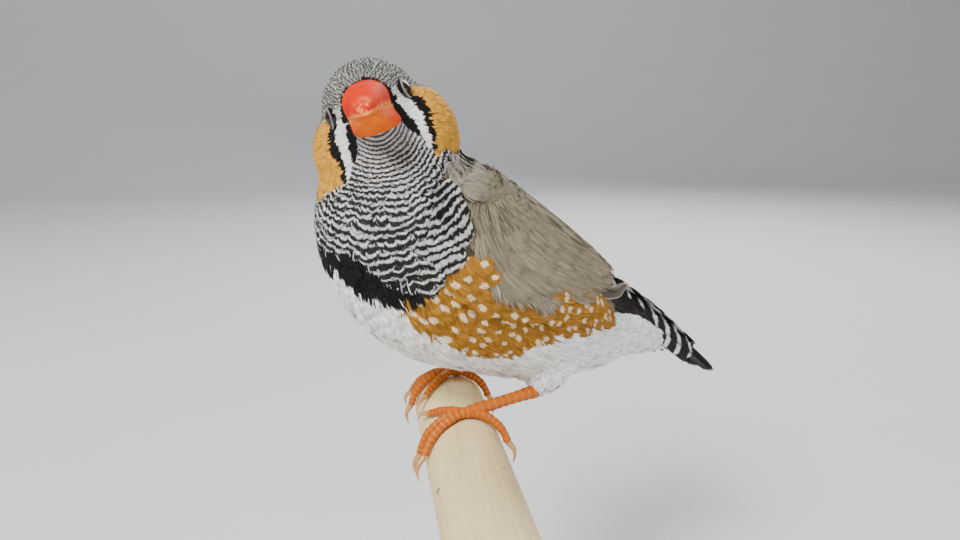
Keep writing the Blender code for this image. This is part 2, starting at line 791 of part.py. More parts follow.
def eyelid(side):
    """A raised ring round the eye; side is 1 on the left."""
    turns, sides = 18, 6
    centre = np.array((EYE_CENTRE[0], EYE_CENTRE[1] * side, EYE_CENTRE[2]))
    way = np.array((EYE_LOOK[0], EYE_LOOK[1] * side, EYE_LOOK[2]))
    way /= np.linalg.norm(way)
    ahead = np.cross(way, (0.0, 0.0, 1.0))
    ahead /= np.linalg.norm(ahead)
    over = np.cross(ahead, way)
    level = centre + way * math.sqrt(EYE_RADIUS**2 - LID_RADIUS**2)
    points, faces = [], []
    for i in range(turns):
        angle = 2 * math.pi * i / turns
        out = math.cos(angle) * ahead + math.sin(angle) * over
        for j in range(sides):
            round_lid = 2 * math.pi * j / sides
            from_ring = math.cos(round_lid) * out + math.sin(round_lid) * way
            points.append(level + out * LID_RADIUS + LID_THICKNESS * from_ring)
            a, b = sides * i + j, sides * i + (j + 1) % sides
            c, d = ((sides * (i + 1) + k) % (turns * sides) for k in ((j + 1) % sides, j))
            faces += [(a, b, c), (a, c, d)]
    return outward(node("lid", world(head_point(points)), faces, "grey_plumage"))


def face(head, skin):
    """Eye sockets and lids on the head, the two eyes, and the bill with its nostrils."""
    for side in (1.0, -1.0):
        join(head, eyelid(side))
    for side, side_name in ((1.0, "left"), (-1.0, "right")):
        centre = (EYE_CENTRE[0], EYE_CENTRE[1] * side, EYE_CENTRE[2])
        points, faces = ball(centre, (EYE_RADIUS + GAP,) * 3, head_point, 10, 16)
        socket = outward(node("socket", world(points), faces, "eye"))
        cut(head, socket)
        remove(socket)
        points, faces = ball(centre, (EYE_RADIUS,) * 3, head_point, 10, 16)
        outward(node("eye_" + side_name, world(points), faces, "eye"))
    cutter = grown(skin, GAP)
    for name, shape, look in (
        ("bill_upper", BILL_UPPER, "bill_red"), ("bill_lower", BILL_LOWER, "bill_orange"),
    ):
        points, faces = mandible(shape)
        obj = outward(node(name, world(points), faces, look))
        cut(obj, cutter)
        if name == "bill_upper":
            for side in (1.0, -1.0):
                spot = (NOSTRIL[0], NOSTRIL[1] * side, NOSTRIL[2])
                points, faces = ball(spot, NOSTRIL_RADII, head_point, 8, 10)
                dent = outward(node("nostril", world(points), faces, look))
                cut(obj, dent)
                remove(dent)
    remove(cutter)


def turned(name, radius, start, end, axis, at, sides, look):
    """A round bar along Y or Z, in millimetres of the world."""
    rings = []
    for place in (start, end):
        ring = []
        for a in np.linspace(0.0, 2 * math.pi, sides, endpoint=False):
            u, v = radius * math.cos(a), radius * math.sin(a)
            ring.append((at[0] + u, place, at[1] + v) if axis == "Y" else (at[0] + u, at[1] + v, place))
        rings.append(ring)
    points, faces = loft(rings)
    return outward(node(name, np.array(points) * MM, faces, look))


def stand():
    """The perch on two rods over a flat base."""
    perch = turned("perch", PERCH_RADIUS, PERCH_NEAR, PERCH_FAR, "Y", (0.0, PERCH_AXIS_HEIGHT), 32, "wood")
    for name, along in RODS.items():
        top = PERCH_AXIS_HEIGHT - PERCH_RADIUS - GAP
        turned(name, ROD_RADIUS, BASE_SIZE[2] + GAP, top, "Z", (0.0, along), 20, "rod")
    bpy.ops.mesh.primitive_cube_add(size=1.0)
    base = bpy.context.object
    base.name = "stand_base"
    base.data.name = "stand_base"
    for vert in base.data.vertices:
        vert.co.x = (vert.co.x * BASE_SIZE[0] + BASE_CENTRE[0]) * MM
        vert.co.y = (vert.co.y * BASE_SIZE[1] + BASE_CENTRE[1]) * MM
        vert.co.z = (vert.co.z + 0.5) * BASE_SIZE[2] * MM
    base.data.materials.append(material("base"))
    bevel = base.modifiers.new("Edge", "BEVEL")
    bevel.width = BASE_EDGE * MM
    bevel.segments = 2
    return perch


def smooth_round_pieces():
    for obj in bpy.context.scene.collection.objects:
        if obj.type == "MESH":
            obj.data.shade_smooth()
            obj.data.set_sharp_from_angle(angle=math.radians(40.0))


def main():
    clear_scene()
    skin = whole_skin()
    under_head = plane_under_head()
    neck_base = plane_along_body(NECK_BASE)
    rump_cut = plane_along_body(RUMP_CUT)
    head = stretch(skin, "head", [], [under_head], "grey_plumage")
    stretch(skin, "neck", [under_head], [neck_base], "throat")
    stretch(skin, "torso", [under_head, neck_base], [rump_cut], "body")
    stretch(skin, "rump", [rump_cut], [], "white_plumage")
    face(head, skin)
    for side_name in ("left", "right"):
        wing(side_name, skin)
        thigh(side_name, skin, leg(side_name))
    tail(skin)
    remove(skin)
    stand()
    smooth_round_pieces()


main()
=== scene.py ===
# %% [markdown]
# A life-size zebra finch on a cut length of perch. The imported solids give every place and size, and
# this script dresses them: a skin with thousands of feathers made of thin blades, long vanes for the
# wings and tail, a waxy bill, wet eyes, scaly feet, a wooden perch and a painted stand.

# %% Frame
import math

import bmesh
import bpy
import numpy as np
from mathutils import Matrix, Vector
from mathutils.bvhtree import BVHTree
from mathutils.kdtree import KDTree


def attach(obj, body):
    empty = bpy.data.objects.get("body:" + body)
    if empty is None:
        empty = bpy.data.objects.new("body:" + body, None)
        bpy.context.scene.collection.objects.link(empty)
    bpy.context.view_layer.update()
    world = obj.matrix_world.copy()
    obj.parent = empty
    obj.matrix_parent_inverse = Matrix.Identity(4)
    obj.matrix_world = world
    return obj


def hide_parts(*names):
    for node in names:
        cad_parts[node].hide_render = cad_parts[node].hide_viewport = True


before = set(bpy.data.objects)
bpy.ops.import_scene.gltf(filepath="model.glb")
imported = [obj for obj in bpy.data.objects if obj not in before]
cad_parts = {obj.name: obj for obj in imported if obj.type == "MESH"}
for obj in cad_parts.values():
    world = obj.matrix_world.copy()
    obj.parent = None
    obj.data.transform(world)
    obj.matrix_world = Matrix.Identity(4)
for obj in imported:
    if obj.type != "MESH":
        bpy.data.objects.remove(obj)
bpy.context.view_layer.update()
MM = 0.001
FULL_TURN = 2 * math.pi


def new_object(name, data):
    """An object that holds a mesh, a lamp or a camera, placed in the scene."""
    made = bpy.data.objects.new(name, data)
    bpy.context.scene.collection.objects.link(made)
    return made


print("nodes in the frame:", len(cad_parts))

# %% [markdown]
# The camera looks down a little on the breast and along the perch. A lens of 28.5 mm on a 36 mm
# sensor, a hand's width from the bird, gives the strong perspective of a close portrait.

# %% Camera
CAMERA_PLACE = (-0.0174, -0.1372, 0.1378)
CAMERA_LOOK = (0.1535, 0.9600, -0.2341)
LENS_MM = 28.5
SENSOR_MM = 36.0
NEAREST = 0.005
camera_data = bpy.data.cameras.new("portrait_camera")
camera_data.lens = LENS_MM
camera_data.sensor_width = SENSOR_MM
camera_data.clip_start = NEAREST
camera = new_object("portrait_camera", camera_data)
camera.location = CAMERA_PLACE
camera.rotation_euler = Vector(CAMERA_LOOK).to_track_quat("-Z", "Y").to_euler()
bpy.context.scene.camera = camera
print("camera height above the floor, mm:", round(camera.location.z / MM, 1))

# %% [markdown]
# Plumage looks its best in broad soft light, because each blade throws a tiny shadow. One large lamp
# stands at the front left, a weaker one fills the right, a third gives the back an edge, and a pale
# world lightens what is left.

# %% Lamps and world
BIRD_MIDDLE = (0.0, 0.0, 0.11)
ROOM_COLOUR = (0.93, 0.96, 1.0, 1.0)
ROOM_STRENGTH = 0.38


def soft_lamp(name, place, size, power):
    data = bpy.data.lights.new(name, "AREA")
    data.size = size
    data.energy = power
    lamp = new_object(name, data)
    lamp.location = place
    lamp.rotation_euler = (Vector(BIRD_MIDDLE) - Vector(place)).to_track_quat("-Z", "Y").to_euler()


soft_lamp("key_lamp", (-0.42, -0.46, 0.66), 0.28, 12.0)
soft_lamp("fill_lamp", (0.60, -0.40, 0.28), 0.50, 2.6)
soft_lamp("rim_lamp", (0.30, 0.60, 0.55), 0.40, 5.0)
world = bpy.data.worlds.new("pale_room")
world.use_nodes = True
background = world.node_tree.nodes["Background"]
background.inputs["Color"].default_value = ROOM_COLOUR
background.inputs["Strength"].default_value = ROOM_STRENGTH
bpy.context.scene.world = world

# %% [markdown]
# A shader node group is a small tool that many materials share. These helpers make one quickly: the
# sockets are named first, then nodes are added and joined.

# %% Helpers for node groups
FLOAT, COLOUR, VECTOR = "NodeSocketFloat", "NodeSocketColor", "NodeSocketVector"


def shader_group(name, inputs, outputs):
    """A new node group with its sockets, and its two end nodes. Sockets are (name, kind, value)."""
    group = bpy.data.node_groups.new(name, "ShaderNodeTree")
    for socket_name, kind, value in inputs:
        socket = group.interface.new_socket(name=socket_name, in_out="INPUT", socket_type=kind)
        if value is not None:
            socket.default_value = value
    for socket_name, kind in outputs:
        group.interface.new_socket(name=socket_name, in_out="OUTPUT", socket_type=kind)
    return group, group.nodes.new("NodeGroupInput"), group.nodes.new("NodeGroupOutput")


def join(tree, source, target):
    tree.links.new(source, target)


def feed(tree, socket, value):
    """Gives a socket its value, which is another socket, a colour or a number."""
    if hasattr(value, "is_linked"):
        join(tree, value, socket)
    else:
        socket.default_value = (*value, 1.0) if socket.type == "RGBA" else value


def add_math(tree, operation, *values):
    node = tree.nodes.new("ShaderNodeMath")
    node.operation = operation
    for socket, value in zip(node.inputs, values):
        feed(tree, socket, value)
    return node.outputs[0]


def add_vector_math(tree, operation, first, second):
    node = tree.nodes.new("ShaderNodeVectorMath")
    node.operation = operation
    feed(tree, node.inputs[0], first)
    feed(tree, node.inputs[1], second)
    return node.outputs[0]


def add_mix(tree, factor, first, second, blend="MIX"):
    node = tree.nodes.new("ShaderNodeMix")
    node.data_type = "RGBA"
    node.blend_type = blend
    for name, value in (("Factor_Float", factor), ("A_Color", first), ("B_Color", second)):
        feed(tree, next(s for s in node.inputs if s.identifier == name), value)
    return next(s for s in node.outputs if s.identifier == "Result_Color")


def add_noise(tree, vector, scale, detail=3.0, roughness=0.55):
    node = tree.nodes.new("ShaderNodeTexNoise")
    feed(tree, node.inputs["Scale"], scale)
    node.inputs["Detail"].default_value = detail
    node.inputs["Roughness"].default_value = roughness
    if vector is not None:
        join(tree, vector, node.inputs["Vector"])
    return node.outputs["Fac"]


def add_ramp(tree, value, low, high):
    """A smooth step from 0 at low to 1 at high."""
    node = tree.nodes.new("ShaderNodeMapRange")
    node.interpolation_type = "SMOOTHSTEP"
    for name, fed in (("Value", value), ("From Min", low), ("From Max", high)):
        feed(tree, node.inputs[name], fed)
    return node.outputs["Result"]


def use_group(tree, group, **values):
    """Places a group in a material, and feeds the sockets that are named."""
    node = tree.nodes.new("ShaderNodeGroup")
    node.node_tree = group
    for name, value in values.items():
        feed(tree, node.inputs[name], value)
    return node


print("sockets used:", FLOAT, COLOUR, VECTOR)

# %% [markdown]
# A material starts from the plain surface shader. What varies over a piece reaches it by a colour
# attribute of the mesh or by the place on the piece. Many looks here are two colours in soft clouds,
# and those share a group.

# %% Helpers for materials
def new_material(name, roughness, specular=0.5, coat=0.0, metallic=0.0):
    """A material, its node tree and its surface shader."""
    made = bpy.data.materials.new(name)
    made.use_nodes = True
    shader = made.node_tree.nodes["Principled BSDF"]
    shader.inputs["Roughness"].default_value = roughness
    shader.inputs["Specular IOR Level"].default_value = specular
    shader.inputs["Coat Weight"].default_value = coat
    shader.inputs["Metallic"].default_value = metallic
    return made, made.node_tree, shader


def attribute(tree, name, output="Color"):
    node = tree.nodes.new("ShaderNodeAttribute")
    node.attribute_name = name
    return node.outputs[output]


def attribute_parts(tree, name):
    """The red, green and blue of a colour attribute, as three values."""
    node = tree.nodes.new("ShaderNodeSeparateColor")
    join(tree, attribute(tree, name), node.inputs[0])
    return node.outputs


def object_place(tree):
    return tree.nodes.new("ShaderNodeTexCoord").outputs["Object"]


def bump(tree, shader, height, strength, distance):
    node = tree.nodes.new("ShaderNodeBump")
    node.inputs["Strength"].default_value = strength
    node.inputs["Distance"].default_value = distance
    join(tree, height, node.inputs["Height"])
    join(tree, node.outputs["Normal"], shader.inputs["Normal"])


def cloudy_group():
    """Two colours mixed by a soft noise over the piece."""
    group, start, end = shader_group(
        "cloudy_colour",
        [("Place", VECTOR, None), ("Scale", FLOAT, 600.0), ("First", COLOUR, None), ("Second", COLOUR, None)],
        [("Colour", COLOUR)],
    )
    noise = add_noise(group, start.outputs["Place"], start.outputs["Scale"])
    colour = add_mix(group, noise, start.outputs["First"], start.outputs["Second"])
    join(group, colour, end.inputs["Colour"])
    return group


cloudy = cloudy_group()


def cloudy_material(name, first, second, scale, roughness, **finish):
    """A material of two colours in soft clouds; finish holds what else new_material takes."""
    made, tree, shader = new_material(name, roughness, **finish)
    node = use_group(tree, cloudy, Place=object_place(tree), Scale=scale, First=first, Second=second)
    join(tree, node.outputs["Colour"], shader.inputs["Base Color"])
    return made, tree, shader


print("first group:", cloudy.name)

# %% [markdown]
# The floor is one sheet that lies flat under the stand and curves up far behind it, as a
# photographer's paper sweep does, so that no horizon shows.

# %% Floor
SWEEP_NEAR = -2.5
SWEEP_FLAT = 0.9
SWEEP_RADIUS = 0.5
SWEEP_TOP = 3.0
SWEEP_SIDE = 4.0
SWEEP_STEPS = 12


def paper_sweep():
    profile = [(SWEEP_NEAR, 0.0), (SWEEP_FLAT, 0.0)]
    for step in range(1, SWEEP_STEPS + 1):
        angle = math.radians(90.0 * step / SWEEP_STEPS)
        profile.append((
            SWEEP_FLAT + SWEEP_RADIUS * math.sin(angle), SWEEP_RADIUS * (1.0 - math.cos(angle))
        ))
    profile.append((SWEEP_FLAT + SWEEP_RADIUS, SWEEP_TOP))
    points = [(x, y, z) for y, z in profile for x in (-SWEEP_SIDE, SWEEP_SIDE)]
    faces = [(2 * i, 2 * i + 1, 2 * i + 3, 2 * i + 2) for i in range(len(profile) - 1)]
    mesh = bpy.data.meshes.new("paper_sweep")
    mesh.from_pydata(points, [], faces)
    mesh.shade_smooth()
    floor = new_object("paper_sweep", mesh)
    made, tree, shader = new_material("pale_paper", 0.9)
    colour = add_mix(tree, add_noise(tree, None, 60.0), (0.66, 0.665, 0.67), (0.70, 0.705, 0.71))
    join(tree, colour, shader.inputs["Base Color"])
    mesh.materials.append(made)


paper_sweep()
print("sweep rises to, m:", SWEEP_TOP)

# %% [markdown]
# All shapes are worked out in the bird's own frame, in millimetres: forward, to its left, and up, from
# the point between its feet on top of the perch. The numbers are those of the solids.

# %% The bird's frame
PERCH_RADIUS = 7.2
PERCH_AXIS_HEIGHT = 72.0
PERCH_FAR = 13.5
PERCH_NEAR = -64.0
PERCH_TOP = PERCH_AXIS_HEIGHT + PERCH_RADIUS
BODY_TURN = math.radians(23.0)
FORWARD = np.array((-math.cos(BODY_TURN), -math.sin(BODY_TURN), 0.0))
LEFT = np.array((math.sin(BODY_TURN), -math.cos(BODY_TURN), 0.0))
UP = np.array((0.0, 0.0, 1.0))
SIDES = {"left": 1.0, "right": -1.0}


def world_points(points):
    """Points of the bird's frame as metres of the scene."""
    points = np.asarray(points, float).reshape(-1, 3)
    turned = points[:, :1] * FORWARD + points[:, 1:2] * LEFT + points[:, 2:3] * UP
    return (turned + UP * PERCH_TOP) * MM


def raised(points):
    """Points over the perch's top in the scene's own directions, as metres."""
    return (np.asarray(points, float).reshape(-1, 3) + UP * PERCH_TOP) * MM


# Sections of the body from the throat to the root of the tail. Each is forward, height, half depth and
# half width.
BODY = np.array([
    (14.5, 55.0, 7.5, 7.5),
    (13.0, 49.0, 10.5, 10.5),
    (12.2, 43.0, 13.7, 13.8),
    (9.9, 35.0, 16.8, 16.5),
    (3.8, 27.1, 18.0, 17.6),
    (-7.0, 20.6, 16.7, 17.2),
    (-18.4, 14.6, 14.4, 15.4),
    (-28.5, 10.4, 11.0, 12.2),
    (-38.0, 8.6, 8.2, 9.2),
    (-46.0, 5.6, 5.6, 6.8),
    (-52.5, 2.8, 3.4, 4.6),
])
HEAD_CENTRE = np.array((15.1, 0.4, 52.4))
HEAD_TURN = math.radians(60.0)
HEAD_PITCH = math.radians(9.0)
HEAD_ROLL = math.radians(21.5)
# The masses of the head, in its own frame: centre and radii
HEAD_LUMPS = [
    ((-0.5, 0.0, 2.8), (10.2, 8.5, 8.6)),
    ((3.2, 0.0, 0.8), (7.6, 6.6, 6.4)),
    ((-1.6, 5.6, -3.5), (8.8, 7.2, 8.8)),
    ((-1.6, -5.6, -3.5), (8.8, 7.2, 8.8)),
    ((-1.0, 0.0, -4.5), (9.4, 8.6, 7.6)),
]


def turn_matrix(axis, angle):
    """A turn about one axis of three, 0 to 2."""
    c, s = math.cos(angle), math.sin(angle)
    made = np.eye(3)
    i, j = [(1, 2), (2, 0), (0, 1)][axis]
    made[i, i], made[i, j], made[j, i], made[j, j] = c, -s, s, c
    return made


HEAD_AXES = turn_matrix(2, HEAD_TURN) @ turn_matrix(1, -HEAD_PITCH) @ turn_matrix(0, HEAD_ROLL)


def head_point(points):
    """Points of the head's frame in the bird's own."""
    return np.asarray(points, float).reshape(-1, 3) @ HEAD_AXES.T + HEAD_CENTRE


def in_head(points):
    """Points of the bird's frame in the head's own."""
    return (np.asarray(points, float).reshape(-1, 3) - HEAD_CENTRE) @ HEAD_AXES


print("bill points along", HEAD_AXES[:, 0].round(2))

# %% [markdown]
# A Catmull-Rom curve runs smoothly through a few rows of numbers. The body is lofted through its
# eleven sections with it, and the wing's edges use the same curve.

# %% Curves over the body
AXIS_STEPS = 200


def normalised(vectors):
    return vectors / np.maximum(np.linalg.norm(vectors, axis=-1, keepdims=True), 1e-9)


def running_length(path):
    """The length along a path up to each of its points."""
    return np.concatenate([[0.0], np.cumsum(np.linalg.norm(np.diff(path, axis=0), axis=1))])


def circle(sides):
    """Angles at even steps once round."""
    return np.linspace(0.0, FULL_TURN, sides, endpoint=False)


def spline(rows, place):
    """Rows of numbers at any place between them, counted in rows."""
    rows = np.asarray(rows, float)
    place = np.clip(np.asarray(place, float), 0.0, len(rows) - 1.0)
    index = np.minimum(place.astype(int), len(rows) - 2)
    part = (place - index)[..., None]
    ends = np.vstack([2 * rows[0] - rows[1], rows, 2 * rows[-1] - rows[-2]])
    a, b, c, d = (ends[index + k] for k in range(4))
    return 0.5 * (
        2 * b + (c - a) * part + (2 * a - 5 * b + 4 * c - d) * part**2 + (3 * b - a - 3 * c + d) * part**3
    )


def body_point(place, angle, height):
    """A point over the body: place counted in sections, angle from the back's middle to the left."""
    place = np.asarray(place, float)
    row = spline(BODY, place)
    along = normalised(spline(BODY, place + 0.05)[..., :2] - spline(BODY, place - 0.05)[..., :2])
    dorsal = np.stack([along[..., 1], -along[..., 0]], axis=-1)
    deep = (row[..., 2] + height) * np.cos(angle)
    wide = (row[..., 3] + height) * np.sin(angle)
    return np.stack([
        row[..., 0] + dorsal[..., 0] * deep, wide, row[..., 1] + dorsal[..., 1] * deep
    ], axis=-1)


AXIS_PLACES = np.linspace(0.0, len(BODY) - 1.0, AXIS_STEPS + 1)
AXIS_ROWS = spline(BODY, AXIS_PLACES)
AXIS_WAYS = normalised(np.gradient(AXIS_ROWS[:, :2], axis=0))
AXIS_REACH = running_length(AXIS_ROWS[:, :2])
CHUNK = 20000


def body_place(points):
    """The place along the body and the angle round it, in degrees, of points in the bird's frame."""
    places, angles = [], []
    for chunk in np.array_split(points, max(1, len(points) // CHUNK)):
        dx = chunk[:, 0, None] - AXIS_ROWS[None, :, 0]
        dz = chunk[:, 2, None] - AXIS_ROWS[None, :, 1]
        best = np.argmin(dx**2 + dz**2, axis=1)
        row, way = AXIS_ROWS[best], AXIS_WAYS[best]
        deep = (chunk[:, 0] - row[:, 0]) * way[:, 1] - (chunk[:, 2] - row[:, 1]) * way[:, 0]
        places.append(AXIS_PLACES[best])
        angles.append(np.degrees(np.arctan2(chunk[:, 1] / row[:, 3], deep / row[:, 2])))
    return np.concatenate(places), np.concatenate(angles)


print("body length along its middle, mm:", round(AXIS_REACH[-1], 1))

# %% [markdown]
# Under the feathers lies one seamless skin. It starts as the loft of the body, a few rounded masses for
# the head and the two thighs, each of them rings of points that are joined by faces.

# %% Flesh in rings
SKIN_VOXEL = 0.5
SKIN_SMOOTHING = 14
SKIN_RINGS = 90
SKIN_SIDES = 72
ANKLES = {"left": (-11.6, 9.8, 2.0), "right": (-15.5, -9.6, 0.4)}
THIGH_TOPS = {"left": (-17.4, 8.6, 8.0), "right": (-18.4, -8.6, 7.6)}
THIGH_RADIUS = 5.0
THIGH_OVER = 0.6
THIGH_STEPS = 12
THIGH_TAPER = (0.9, 1.0, 1.0, 0.95, 0.86, 0.74, 0.58, 0.36)
BILL_ROOT = np.array((7.5, 0.0, 1.5))


def loft(rings, closed_ends=True):
    """Points and faces through rings of as many points each."""
    rings = np.asarray(rings, float)
    count, sides = rings.shape[:2]
    points = [tuple(p) for ring in rings for p in ring]
    faces = []
    for i in range(count - 1):
        for j in range(sides):
            k = (j + 1) % sides
            faces.append((i * sides + j, i * sides + k, (i + 1) * sides + k, (i + 1) * sides + j))
    if closed_ends:
        faces.append(tuple(range(sides - 1, -1, -1)))
        faces.append(tuple((count - 1) * sides + j for j in range(sides)))
    return points, faces


def tube_rings(path, radii, sides):
    """Rings of a round body along a path."""
    path = np.asarray(path, float)
    run = normalised(np.gradient(path, axis=0))
    aside = np.cross(run[0], (0.0, 0.0, 1.0))
    if np.linalg.norm(aside) < 0.1:
        aside = np.cross(run[0], (0.0, 1.0, 0.0))
    angles = circle(sides)
    rings = []
    for place, way, radius in zip(path, run, radii):
        aside = aside - way * (aside @ way)
        aside /= np.linalg.norm(aside)
        over = np.cross(way, aside)
        rings.append(place + radius * (np.outer(np.cos(angles), aside) + np.outer(np.sin(angles), over)))
    return rings


def ball_rings(centre, radii, rows=24, sides=32):
    lifts = math.pi * np.arange(1, rows) / rows
    angles = circle(sides)
    return [
        head_point(np.stack([
            centre[0] + radii[0] * np.full(sides, math.cos(lift)),
            centre[1] + radii[1] * math.sin(lift) * np.cos(angles),
            centre[2] + radii[2] * math.sin(lift) * np.sin(angles),
        ], axis=1))
        for lift in lifts
    ]


def thigh_line(side_name):
    """The top of a thigh, the ankle, and the way down from the one to the other."""
    top, ankle = np.array(THIGH_TOPS[side_name]), np.array(ANKLES[side_name])
    return top, ankle, (ankle - top) / np.linalg.norm(ankle - top)


def thigh_rings(side_name):
    top, ankle, way = thigh_line(side_name)
    parts = np.linspace(0.0, 1.0, THIGH_STEPS)
    path = [top + (ankle + way * THIGH_OVER - top) * part for part in parts]
    radii = THIGH_RADIUS * np.interp(parts, np.linspace(0, 1, len(THIGH_TAPER)), THIGH_TAPER)
    return tube_rings(path, radii, 20)


print("masses of the head:", len(HEAD_LUMPS))

# %% [markdown]
# A voxel remesh merges the pieces, as wet clay is smoothed into one. Then the skin is drawn in by the
# depth of the coat, thin on the face and thick on the belly.

# %% Skin
def coat_depth(points):
    """How far the skin lies under the feathers' surface."""
    head = in_head(points)
    from_bill = np.linalg.norm((head - BILL_ROOT) * (1.0, 1.0, 0.8), axis=1)
    depth = np.interp(from_bill, [4.0, 8.0, 14.0, 22.0, 34.0], [0.15, 0.45, 0.8, 1.2, 1.5])
    near_ankle = np.minimum(*(
        np.linalg.norm(points - np.array(ankle), axis=1) for ankle in ANKLES.values()
    ))
    return np.minimum(depth, np.interp(near_ankle, [0.0, 6.0], [0.5, 1.5]))


def mesh_object(name, points, faces):
    mesh = bpy.data.meshes.new(name)
    mesh.from_pydata([tuple(p) for p in points], [], faces)
    return new_object(name, mesh)


def apply_modifiers(obj):
    graph = bpy.context.evaluated_depsgraph_get()
    mesh = bpy.data.meshes.new_from_object(obj.evaluated_get(graph))
    obj.modifiers.clear()
    obj.data = mesh


def mesh_points(mesh):
    found = np.empty(len(mesh.vertices) * 3, np.float32)
    mesh.vertices.foreach_get("co", found)
    return found.reshape(-1, 3).astype(float)


def whole_skin():
    """The skin in the bird's frame, in millimetres."""
    places = np.linspace(0.0, len(BODY) - 1.0, SKIN_RINGS)
    angles = circle(SKIN_SIDES)
    pieces = [[body_point(np.full(SKIN_SIDES, place), angles, 0.0) for place in places]]
    pieces += [ball_rings(*lump) for lump in HEAD_LUMPS]
    pieces += [thigh_rings(side_name) for side_name in SIDES]
    points, faces = [], []
    for rings in pieces:
        first = len(points)
        part_points, part_faces = loft(rings)
        points += part_points
        faces += [tuple(first + k for k in face) for face in part_faces]
    skin = mesh_object("skin", points, faces)
    remesh = skin.modifiers.new("Merge", "REMESH")
    remesh.mode = "VOXEL"
    remesh.voxel_size = SKIN_VOXEL
    smooth = skin.modifiers.new("Smooth", "SMOOTH")
    smooth.factor = 0.5
    smooth.iterations = SKIN_SMOOTHING
    apply_modifiers(skin)
    points = mesh_points(skin.data)
    normals = np.array([v.normal for v in skin.data.vertices])
    points -= normals * coat_depth(points)[:, None]
    skin.data.vertices.foreach_set("co", points.astype(np.float32).ravel())
    skin.data.update()
    return skin


skin = whole_skin()
skin_points = mesh_points(skin.data)
skin_tree = BVHTree.FromPolygons(
    [tuple(p) for p in skin_points], [tuple(f.vertices) for f in skin.data.polygons]
)
print("skin faces:", len(skin.data.polygons))

# %% [markdown]
# The markings are written as a painter would describe them, in two sets of places: on the face by the
# angle round the head and the height on it, and on the body by the place along it and the angle from
# the back. Feathers and skin ask the same function for their colour.

# %% Colours
GREY_CROWN = (0.205, 0.197, 0.180)
GREY_NAPE = (0.31, 0.285, 0.235)
SPECKLED = (0.50, 0.49, 0.46)
WHITE = (0.82, 0.82, 0.79)
BELLY_WHITE = (0.88, 0.87, 0.83)
BLACK = (0.006, 0.005, 0.005)
CHEEK = (0.60, 0.29, 0.032)
FLANK = (0.35, 0.155, 0.016)
BREAST_GREY = (0.50, 0.49, 0.47)
MANTLE = (0.240, 0.202, 0.136)
SIDE_GREY = (0.36, 0.32, 0.25)
WING_BROWN = (0.240, 0.196, 0.134)
RUMP_BLACK = (0.03, 0.026, 0.023)


def between(low, high, share):
    """Mixes two colours by a share for each feather."""
    return np.array(low) * (1 - share[:, None]) + np.array(high) * share[:, None]


print("crown, mantle and flank:", GREY_CROWN, MANTLE, FLANK)

# %% [markdown]
# On the face, the angle is counted round the head from the bill, and the photo's own head carries its
# stripes a little further back on its left side than on its right.

# %% Face markings
FACE_HEIGHTS = (-9.5, -8.0, -6.0, -4.0, -2.0, -0.5, 0.7, 1.6, 3.0, 4.0)
LORE_INNER = (39.0, 38.5, 35.6, 28.0, 21.5, 18.0, 17.0, 20.5, 22.0, 24.0)
WHITE_INNER = (39.0, 38.5, 35.6, 33.8, 32.0, 28.5, 23.0, 20.5, 22.0, 24.0)
WHITE_OUTER = (39.0, 41.5, 40.6, 39.5, 40.2, 41.2, 41.0, 36.0, 32.0, 30.0)
TEAR_OUTER = (41.0, 44.8, 45.2, 46.0, 48.0, 49.2, 49.5, 47.5, 43.5, 40.0)
SIDE_SHIFT = 1.2
CROWN_LOW = 3.4
BILL_RING = (4.4, 5.7)


def face_angle(head):
    side = np.sign(head[:, 1])
    return np.degrees(np.arctan2(np.abs(head[:, 1]), head[:, 0] + 2.0)) - SIDE_SHIFT * side


# Columns of what paint gives for each point beside its colour
RINGS, STRENGTH, SPOTS, SPECKLE = range(4)


def mark(shade, bars, where, colour, speckle=0.0):
    """Colours some points plainly, without bars."""
    shade[where] = colour
    bars[where, STRENGTH] = 0.0
    bars[where, SPECKLE] = speckle


def paint_face(head, shade, bars):
    """Colours the feathers of the head; head holds their places in the head's frame."""
    x, y, z = head.T
    angle = face_angle(head) + 0.6 * waves(head, 2.2, 8)
    edges = (LORE_INNER, WHITE_INNER, WHITE_OUTER, TEAR_OUTER)
    lore, inner, outer, tear = (np.interp(z, FACE_HEIGHTS, edge) for edge in edges)
    cheek_top = 4.0 - 0.35 * np.maximum(0.0, 4.5 - x)
    mark(shade, bars, (z > CROWN_LOW) | ((angle > 60.0) & (z > cheek_top)), GREY_CROWN, 1.0)
    bars[:, SPECKLE] *= np.interp(x, [-9.0, -4.0], [0.15, 1.0])
    mark(shade, bars, (z > 0.5) & (z <= 3.8) & (angle < tear) & (angle > 12.0), SPECKLED, 0.8)
    mark(shade, bars, (angle > inner) & (angle < outer) & (z < 1.9) & (z > -7.6), WHITE)
    mark(shade, bars, (angle > lore) & (angle < inner) & (z < 1.0) & (z > -5.2), BLACK)
    mark(shade, bars, (angle >= outer) & (angle < tear) & (z < 3.6) & (z > -8.2), BLACK)
    cheek_low = -9.0 + 0.9 * (y < 0) + 0.25 * waves(head, 3.0, 9) + 0.06 * np.maximum(0.0, 1.0 - x)
    cheek = (angle >= tear) & (z < cheek_top) & (z > cheek_low) & (x > -7.5)
    mark(shade, bars, cheek, CHEEK)
    ring = np.sqrt((y / BILL_RING[0]) ** 2 + ((z - 0.5) / BILL_RING[1]) ** 2)
    mark(shade, bars, (ring < 1.10 + 0.03 * waves(head, 0.9, 10)) & (z > 0.9) & (x > 5.0), BLACK)


print("heights on the face with named stations:", len(FACE_HEIGHTS))

# %% [markdown]
# Bars on throat and breast run across the lie of the feathers, in rings about the chin. They stand
# close together under the bill and further apart on the breast, so their count grows with the
# distance from the chin by a curve.

